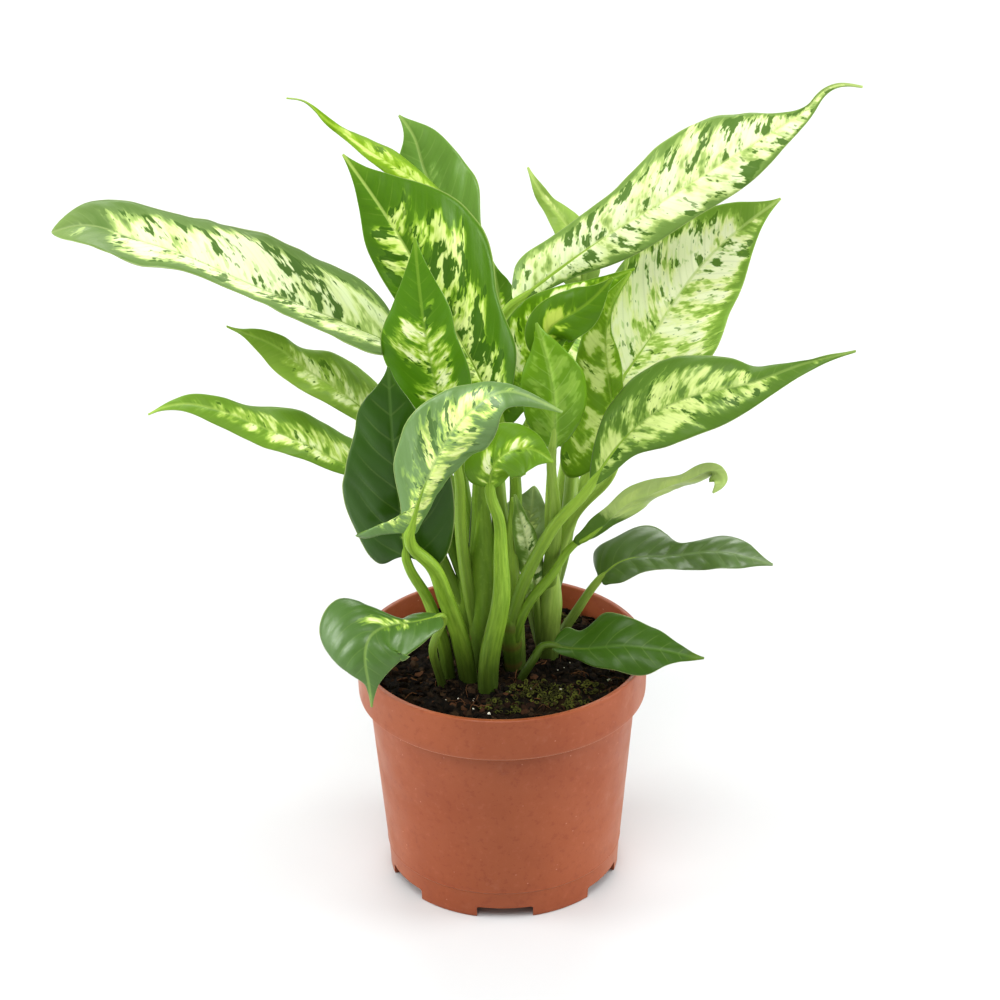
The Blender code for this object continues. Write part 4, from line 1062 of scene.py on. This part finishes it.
def tube_grid(points, radii, seed, scars, wings):
    """Rings round the points, flattened into a sheath low down, and what the shader reads there."""
    lean = points[-1] - points[0]
    side, other = tube_frames(points, (lean[0], lean[1] - 0.01, 0.0))
    angle = ring_angles(STEM_SIDES)
    reach = running_length(points)[:, None]
    ribs = 1 + 0.012 * np.cos(5 * angle + seed)[None, :] + 0.02 * np.sin(2 * angle + seed + reach / 40)
    scar = np.zeros_like(reach)
    for at in scars:
        scar = np.maximum(scar, np.exp(-((reach - at) / 1.1) ** 2))
    radius = np.asarray(radii)[:, None] * ribs * (1 + 0.07 * scar)
    sheath = wings * np.clip((0.72 - reach / reach[-1]) / 0.3, 0, 1) * np.clip(0.1 + reach / 30, 0, 1)
    flat = 0.35 * sheath * radius * np.cos(angle)[None, :] ** 2
    wide = radius * np.cos(angle)[None, :] * (1 + SHEATH_WIDE * sheath)
    deep = radius * np.sin(angle)[None, :] * (1 + 0.1 * sheath) - flat
    ring = points[:, None, :] + wide[:, :, None] * side[:, None, :] + deep[:, :, None] * other[:, None, :]
    facts = dict(reach=reach, turn=angle[None, :], seed=seed, scar=scar)
    return ring, {key: values + 0 * radius for key, values in facts.items()}


def petiole_line(row):
    """From the petiole's foot along the underside of the blade, where it goes on as the midrib."""
    mid, along, _, _ = blade_frame(row, np.array([0.0]))
    end = mid[0] - along[0] * STEM_GAP
    points = list(row["stem"]) + [tuple(end - along[0] * row["run"]), tuple(end)]
    length = running_length(np.array(points, float))[-1]
    shares = np.linspace(0, 1, max(8, int(length / STEM_RING)))
    radii = row["foot"] + (row["tip"] - row["foot"]) * shares ** 0.7
    line = spline_through(points, shares)
    for _ in range(SMOOTHINGS):
        line[1:-1] = (line[:-2] + 2 * line[1:-1] + line[2:]) / 4
    u = np.linspace(0.004, UNDER_TO, UNDER_RINGS)
    mid, _, up, _ = blade_frame(row, u)
    under = row["tip"] * (1 - u / UNDER_TO) ** 0.8 * 0.85 + 0.15
    sunk = np.clip(u / 0.05, 0, 1)[:, None] * (under * 0.75 + 0.1)[:, None]
    return np.concatenate([line, mid - up * sunk]), np.concatenate([radii, under])


def shoot_tubes(name, shoot):
    """Each tube's line, radii, scars and how much of a sheath it has: sheaths, cane, petioles."""
    found = []
    for points, foot in SHEATHS.get(name, ()):
        shares = np.linspace(0, 1, SHEATH_RINGS)
        radii = foot * (1 - 0.85 * np.clip((shares - 0.45) / 0.55, 0, 1) ** 1.4)
        found.append((spline_through(points, shares), radii, (), 0.7))
    if shoot["cane"]:
        shares = np.linspace(0, 1, CANE_RINGS)
        radii = shoot["foot"] + (shoot["tip"] - shoot["foot"]) * shares
        radii[-3:] *= (0.96, 0.86, 0.6)
        found.append((spline_through(shoot["cane"], shares), radii, CANE_SCARS, 0.0))
    return found + [(*petiole_line(row), (), 1.0) for row in shoot["leaves"].values()]


def build_shoot(name, shoot, finish):
    points, faces, facts = [], [], {}
    start = 0
    for number, (line, radii, scars, wings) in enumerate(shoot_tubes(name, shoot)):
        ring, read = tube_grid(line, radii, 1.7 * number + len(name), scars, wings)
        points.append(ring.reshape(-1, 3))
        faces += tube_faces(len(ring), STEM_SIDES, start)
        for key, values in read.items():
            facts.setdefault(key, []).append(values.ravel())
        start += len(points[-1])
    mesh = mesh_from(name + "_petioles", np.concatenate(points), faces)
    for key, values in facts.items():
        set_attribute(mesh, key, np.concatenate(values))
    piece(name + "_petioles", outwards(mesh), finish, "stem_green", name)


# ---------------------------------------------------------------- pot

def pot_profile():
    """From the floor's upper face out, up the inside, over the lip and down the outside."""
    r0, r1 = BODY_BOTTOM_RADIUS, BODY_TOP_RADIUS
    floor = FOOT_HEIGHT + FLOOR_THICK
    slope = (r1 - r0 - 0.6) / (BODY_TOP - 1.2 - FOOT_HEIGHT - 4.0)
    line_z = FOOT_HEIGHT + LINE_HEIGHT
    line_r = r0 + 0.6 + slope * 4.0
    top, band_r, band_z = POT_HEIGHT, BAND_BOTTOM_RADIUS, BAND_BOTTOM
    inside = [(0, floor), (r0 - WALL - 2.0, floor), (r0 - WALL, floor + 2.0), (r1 - WALL, BODY_TOP + 1.0),
              (INSIDE_RIM - 0.6, band_z + 2.4), (INSIDE_RIM, top - 0.9), (INSIDE_RIM + 0.15, top - 0.35),
              (INSIDE_RIM + 0.5, top - 0.06), (INSIDE_RIM + 0.9, top)]
    lip = [(RIM_RADIUS - 0.9, top), (RIM_RADIUS - 0.4, top - 0.1), (RIM_RADIUS - 0.1, top - 0.4),
           (RIM_RADIUS, top - 0.9), (RIM_RADIUS - 0.02, top - 1.5)]
    band = [(band_r + 0.08, band_z + 3.0), (band_r, band_z + 1.1), (band_r - 0.15, band_z + 0.5),
            (band_r - 0.6, band_z + 0.1), (band_r - 1.4, band_z - 0.05), (r1 + 1.2, BODY_TOP + 0.35),
            (r1 + 0.45, BODY_TOP), (r1 + 0.1, BODY_TOP - 0.5), (r1, BODY_TOP - 1.2)]
    body = [(line_r + slope * 0.8, line_z + 0.8), (line_r + 0.1, line_z + 0.35), (line_r + 0.16, line_z),
            (line_r - 0.05, line_z - 0.35), (r0 + 0.55, line_z - 0.8), (r0 + 0.3, FOOT_HEIGHT + 1.0),
            (r0 + 0.05, FOOT_HEIGHT * 0.5), (r0, 0.5), (r0 - 0.15, 0.12), (r0 - 0.5, 0), (r0 - 2.6, 0),
            (r0 - 3.0, 0.4), (r0 - 3.4, FOOT_HEIGHT), (0, FOOT_HEIGHT)]
    return inside + lip + band + body


def notch_shape():
    """A block with softened upper edges, as a moulded notch has."""
    shape = bmesh.new()
    bmesh.ops.create_cube(shape, size=1.0)
    width = 2 * BODY_BOTTOM_RADIUS * math.sin(math.radians(NOTCH_DEGREES / 2))
    size = (NOTCH_DEEP * MM, width * MM, (FOOT_HEIGHT + 0.02) * 2 * MM)
    bmesh.ops.scale(shape, vec=size, verts=shape.verts)
    edges = [e for e in shape.edges if abs(e.verts[0].co.y - e.verts[1].co.y) < 1e-6
             and e.verts[0].co.z > 0 and e.verts[1].co.z > 0]
    bmesh.ops.bevel(shape, geom=edges, offset=NOTCH_ROUND * MM, segments=4, affect="EDGES", profile=0.5)
    return shape


def drain_shape():
    shape = bmesh.new()
    radius = DRAIN_RADIUS * MM
    bmesh.ops.create_cone(shape, cap_ends=True, segments=40, radius1=radius, radius2=radius, depth=10 * MM)
    return shape


def add_cutters(group, make_shape, count, first, circle, height, turns):
    """Cutters spread round the pot's axis, the first of them at this many degrees."""
    for i in range(count):
        angle = math.radians(first + i * 360 / count)
        mesh = bpy.data.meshes.new("cutter")
        shape = make_shape()
        shape.to_mesh(mesh)
        shape.free()
        made = bpy.data.objects.new("cutter", mesh)
        group.objects.link(made)
        place = Vector(AXIS) + Vector((circle * math.cos(angle), circle * math.sin(angle), height)) * MM
        made.matrix_world = Matrix.Translation(place) @ Matrix.Rotation(angle if turns else 0.0, 4, "Z")


def apply_modifiers(thing):
    bpy.context.view_layer.update()
    graph = bpy.context.evaluated_depsgraph_get()
    mesh = bpy.data.meshes.new_from_object(thing.evaluated_get(graph), depsgraph=graph)
    thing.modifiers.clear()
    old, thing.data = thing.data, mesh
    bpy.data.meshes.remove(old)


def build_pot(finish):
    """A solid turned from the profile, with the notches and drain holes cut out of it."""
    profile = pot_profile()
    angles = ring_angles(POT_STEPS)
    points = [point for r, z in profile[1:-1] for point in ring_points(r, z, angles)]
    ends = [(0, 0, profile[0][1]), (0, 0, profile[-1][1])]
    made = piece("pot_shell", fan_closed("pot_shell", points, POT_STEPS, ends), finish, "pot_plastic", "pot")
    group = bpy.data.collections.new("pot_cutters")
    bpy.context.scene.collection.children.link(group)
    add_cutters(group, notch_shape, FEET, -90, NOTCH_CIRCLE, 0, True)
    add_cutters(group, drain_shape, DRAIN_HOLES, -60, DRAIN_CIRCLE, FOOT_HEIGHT + 1, False)
    cut = made.modifiers.new("cut", "BOOLEAN")
    cut.operation = "DIFFERENCE"
    cut.solver = "EXACT"
    cut.operand_type = "COLLECTION"
    cut.collection = group
    apply_modifiers(made)
    for thing in list(group.objects):
        bpy.data.objects.remove(thing)
    bpy.data.collections.remove(group)
    made.data.shade_smooth()
    made.data.set_sharp_from_angle(angle=math.radians(SHARP_DEGREES))


# ---------------------------------------------------------------- soil and what lies on it

def stem_feet():
    """Where each shoot meets the soil."""
    found = []
    for shoot in SHOOTS.values():
        first = shoot["cane"] or next(iter(shoot["leaves"].values()))["stem"]
        found.append(first[1][:2])
    return found


FOOT_PLACES = stem_feet()


def soil_level(x, y):
    """Height of the soil's rough top at a place, a little heaped round each stem."""
    r = math.hypot(x, y)
    near = min((x - a) ** 2 + (y - b) ** 2 for a, b in FOOT_PLACES)
    base = SOIL_TOP + 0.5 - SOIL_DOME * (r / 48) ** 2 - max(0.0, r - 50) * 0.25
    lumps = 1.3 * noise.noise((x / 9, y / 9, 3.0)) + 1.3 * noise.noise((x / 3.6, y / 3.6, 7.0))
    return base + lumps + 0.9 * noise.noise((x / 1.7, y / 1.7, 11.0)) + FOOT_MOUND * math.exp(-near / 60)


def build_soil(finish):
    """A rough top, a side wall that follows the pot's inside, and a floor."""
    angles = ring_angles(SOIL_STEPS)
    points = []
    for r in SOIL_RADIUS * np.linspace(0, 1, SOIL_RINGS + 1)[1:]:
        points += [(x, y, soil_level(x, y)) for x, y, _ in ring_points(r, 0, angles)]
    low = FOOT_HEIGHT + FLOOR_THICK + SOIL_GAP
    r0, r1 = BODY_BOTTOM_RADIUS - WALL - SOIL_GAP, BODY_TOP_RADIUS - WALL - SOIL_GAP
    for r, z in ((SOIL_RADIUS, BAND_BOTTOM + 3.2), (r1 - 0.4, BODY_TOP + 1.4), (r0 - 0.2, low + 2.4),
                 (r0 - 2.4, low)):
        points += ring_points(r, z, angles)
    mesh = fan_closed("soil_bed", points, SOIL_STEPS, [(0, 0, soil_level(0, 0)), (0, 0, low)])
    piece("soil_bed", mesh, finish, "soil_peat", "soil")


def place_on_soil(draw, sink=0.0):
    r, a = SPREAD_RADIUS * math.sqrt(draw.random()), draw.uniform(0, FULL_TURN)
    x, y = r * math.cos(a), r * math.sin(a)
    return Vector((x, y, soil_level(x, y) - sink))


def lumps_mesh(name, places, sizes, tones, draw, squash, detail):
    """Irregular grains in one mesh: each a small sphere pulled out of round."""
    ball = bmesh.new()
    bmesh.ops.create_icosphere(ball, subdivisions=detail, radius=1.0)
    corners = [v.co.copy() for v in ball.verts]
    sides = [tuple(v.index for v in f.verts) for f in ball.faces]
    ball.free()
    points, faces = [], []
    for place, size in zip(places, sizes):
        start = len(points)
        turn = Matrix.Rotation(draw.uniform(0, 6.28), 3, "Z") @ Matrix.Rotation(draw.uniform(0, 1.5), 3, "X")
        wide, deep, high = draw.uniform(0.7, 1.3), draw.uniform(0.6, 1.1), draw.uniform(0.5, 1.0)
        scale = Vector((wide, deep, high * squash)) * size
        salt = draw.uniform(0, 90)
        for co in corners:
            bump = 1 + 0.45 * noise.noise(co * 1.3 + Vector((salt, 0, 0)))
            points.append(place + turn @ (co * scale) * bump)
        faces += [tuple(start + i for i in side) for side in sides]
    mesh = mesh_from(name, [tuple(p) for p in points], faces, smooth=False)
    set_attribute(mesh, "tone", np.repeat(tones, len(corners)))
    return mesh


def heap_feet(draw, places, sizes, count):
    """This many more grains close round each stem."""
    for x, y in FOOT_PLACES:
        for _ in range(count):
            turn, away = draw.uniform(0, FULL_TURN), draw.uniform(4.0, 7.2)
            at = x + away * math.cos(turn), y + away * math.sin(turn)
            places.append(Vector((*at, soil_level(*at) + 0.3)))
            sizes.append(draw.uniform(0.8, 1.9))


# Grains on the soil. heaped: how many more lie round each stem. sink: how deep they lie. spread: their
# smallest and largest size, and the power that makes small ones commoner. dark: the power that makes
# dark ones commoner. squash: how flat they are. detail: subdivisions. colors: dark, light, flecks.
GRAINS = {
    "soil_crumbs": dict(
        seed=5, count=2200, heaped=36, sink=0.1, spread=(0.5, 2.4, 3), dark=2.5, squash=0.7, detail=1,
        finish="crumb", rough=0.9, colors=((12, 9, 6), (64, 48, 32), (34, 25, 17))),
    "bark_chips": dict(
        seed=31, count=170, heaped=0, sink=-0.3, spread=(0.9, 2.6, 1), dark=1.5, squash=0.28, detail=1,
        finish="bark", rough=0.9, colors=((24, 15, 10), (98, 66, 44), (50, 33, 22))),
    "perlite_grains": dict(
        seed=8, count=46, heaped=0, sink=-0.4, spread=(0.3, 0.8, 2), dark=1, squash=0.9, detail=2,
        finish="perlite", rough=0.8, colors=((176, 168, 146), (226, 222, 206), (240, 238, 228))),
}


def build_grains(name, row):
    draw = random.Random(row["seed"])
    places = [place_on_soil(draw, row["sink"]) for _ in range(row["count"])]
    small, large, power = row["spread"]
    sizes = [small + (large - small) * draw.random() ** power for _ in places]
    heap_feet(draw, places, sizes, row["heaped"])
    tones = [draw.random() ** row["dark"] for _ in places]
    mesh = lumps_mesh(name, places, sizes, tones, draw, row["squash"], row["detail"])
    piece(name, mesh, lump_material(row["finish"], *row["colors"], row["rough"]), "soil_peat")


def build_threads(name, lines, radii, tones, finish):
    """Thin round threads along lines, tapering at both ends, in one piece."""
    angle = ring_angles(THREAD_SIDES)
    points, faces = [], []
    for line, radius in zip(lines, radii):
        line = np.array(line, float)
        side, other = tube_frames(line)
        taper = radius * np.sin(math.pi * np.linspace(0.12, 0.94, len(line))) ** 0.5
        across, up = np.cos(angle)[None, :, None], np.sin(angle)[None, :, None]
        ring = line[:, None, :] + taper[:, None, None] * (across * side[:, None, :] + up * other[:, None, :])
        faces += tube_faces(len(line), THREAD_SIDES, len(points))
        points += ring.reshape(-1, 3).tolist()
    mesh = outwards(mesh_from(name, points, faces))
    set_attribute(mesh, "tone", np.repeat(tones, [len(line) * THREAD_SIDES for line in lines]))
    piece(name, mesh, finish, "soil_peat")


def thread_on_soil(draw, start, length, lift):
    """A thread that lies over the soil, bending as it goes."""
    steps = THREAD_POINTS
    heading = draw.uniform(0, FULL_TURN)
    bend = draw.uniform(-THREAD_BEND, THREAD_BEND)
    x, y = start.x, start.y
    line = []
    for i in range(steps):
        line.append((x, y, soil_level(x, y) + lift * math.sin(math.pi * i / (steps - 1)) + 0.15))
        heading += bend + draw.uniform(-0.2, 0.2)
        x += length / steps * math.cos(heading)
        y += length / steps * math.sin(heading)
        if math.hypot(x, y) > SOIL_RADIUS - 0.8:
            heading += math.pi
            x, y = line[-1][0], line[-1][1]
    return line


def build_fibres():
    draw = random.Random(12)
    lines = [thread_on_soil(draw, place_on_soil(draw), draw.uniform(4, 13), draw.uniform(0.3, 1.8))
             for _ in range(FIBRES)]
    radii = [draw.uniform(0.12, 0.3) for _ in lines]
    tones = [draw.random() for _ in lines]
    finish = lump_material("fibre", (40, 24, 14), (120, 84, 54), (70, 44, 28))
    build_threads("peat_fibres", lines, radii, tones, finish)


MOSS_PATCHES = (  # centre and radius of each patch, mm from the axis, then its number of curls
    (14, -24, 13, 110), (24, -31, 11, 90), (34, -22, 8, 40), (0, -36, 9, 40), (-8, -50, 6, 30),
    (26, 36, 8, 40), (-30, 24, 8, 40),
)


def moss_curl(draw, x0, y0, reach):
    """A small loop somewhere in a patch."""
    r, a = reach * math.sqrt(draw.random()), draw.uniform(0, 6.28)
    x, y = x0 + r * math.cos(a), y0 + 0.6 * r * math.sin(a)
    curl = draw.uniform(0.3, 0.9)
    turn, tilt = draw.uniform(0, 6.28), draw.uniform(0.3, 1.3)
    base = soil_level(x, y) + 0.2 + 1.2 * (1 - r / reach) * draw.random()
    line = []
    for i in range(CURL_POINTS):
        w = turn + i * CURL_STEP
        line.append((x + curl * math.cos(w), y + curl * math.sin(w) * math.cos(tilt),
                     base + curl * (1 + math.sin(w) * math.sin(tilt)) * 0.8))
    return line


def build_moss():
    """Curly moss: small loops crowded into patches."""
    draw = random.Random(21)
    lines, radii, tones = [], [], []
    for x0, y0, reach, count in MOSS_PATCHES:
        for _ in range(count):
            lines.append(moss_curl(draw, x0, y0, reach))
            radii.append(draw.uniform(0.22, 0.5))
            tones.append(draw.random())
    finish = lump_material("moss", (34, 34, 14), (94, 98, 40), (58, 52, 26))
    build_threads("moss_curls", lines, radii, tones, finish)


# ---------------------------------------------------------------- studio

def build_floor():
    mesh = bpy.data.meshes.new("floor")
    shape = bmesh.new()
    bmesh.ops.create_grid(shape, x_segments=2, y_segments=2, size=FLOOR_SIZE)
    shape.to_mesh(mesh)
    shape.free()
    floor = bpy.data.objects.new("floor", mesh)
    bpy.context.scene.collection.objects.link(floor)
    floor.location = (0, 0, -FLOOR_DROP)
    mesh.materials.append(floor_material())


def soft_light(name, place, size, power):
    """A round lamp that looks at the plant's middle."""
    light = bpy.data.lights.new(name, "AREA")
    light.shape = "DISK"
    light.size = size
    light.energy = power
    made = bpy.data.objects.new(name, light)
    bpy.context.scene.collection.objects.link(made)
    made.location = Vector(place)
    aim = Vector(LIGHT_TARGET) - Vector(place)
    made.rotation_euler = aim.to_track_quat("-Z", "Y").to_euler()


def studio_world():
    """Soft light from all round, a little weaker from the front."""
    world = bpy.data.worlds.new("studio")
    bpy.context.scene.world = world
    world.use_nodes = True
    g = Graph(world.node_tree)
    shade = world.node_tree.nodes["Background"]
    depth = g.axis(g.node("ShaderNodeTexCoord").outputs["Generated"], 1)
    shade.inputs["Color"].default_value = (1.0, 0.995, 0.985, 1.0)
    g.feed(shade.inputs["Strength"], g.step(depth, -0.9, 0.1, WORLD_FRONT, WORLD_BACK))


def build_studio():
    build_floor()
    studio_world()
    soft_light("key", (-0.1, -1.0, 1.9), 1.4, 23.0)
    soft_light("left", (-1.9, 0.0, 0.7), 1.2, 32.0)
    soft_light("right", (1.9, 0.0, 0.7), 1.2, 32.0)
    soft_light("back", (0.0, 1.6, 1.7), 1.6, 22.0)
    view = bpy.context.scene.view_settings
    view.view_transform = "Standard"
    view.look = "None"
    view.gamma = VIEW_GAMMA


def build_camera():
    data = bpy.data.cameras.new("camera")
    data.sensor_width = SENSOR
    data.lens = LENS
    data.clip_start, data.clip_end = 0.05, 30.0
    camera = bpy.data.objects.new("camera", data)
    bpy.context.scene.collection.objects.link(camera)
    pitch = math.radians(CAMERA_PITCH)
    target = Vector(AXIS) + Vector(CAMERA_TARGET) * MM
    place = target + Vector((0, -math.cos(pitch), math.sin(pitch))) * CAMERA_DISTANCE * MM
    look_down = Matrix.Rotation(math.pi / 2 - pitch, 4, "X")
    roll = Matrix.Rotation(math.radians(CAMERA_ROLL), 4, "Z")
    camera.matrix_world = Matrix.Translation(place) @ look_down @ roll
    bpy.context.scene.camera = camera


def main():
    stems = stem_material("petiole_green", (118, 154, 40), (148, 182, 60), 0.78)
    # A brighter copy of the petiole material: painted light for the shaded shoot at the back
    brightened_stems = stem_material("petiole_painted_light", (152, 182, 76), (180, 208, 98), 0.68)
    build_pot(pot_material())
    build_soil(soil_material())
    for name, row in GRAINS.items():
        build_grains(name, row)
    build_fibres()
    build_moss()
    for name, shoot in SHOOTS.items():
        build_shoot(name, shoot, brightened_stems if name in BRIGHTENED_SHOOTS else stems)
        for leaf_name, row in shoot["leaves"].items():
            build_blade(leaf_name, row, LOOKS[leaf_name])
    build_studio()
    build_camera()


main()
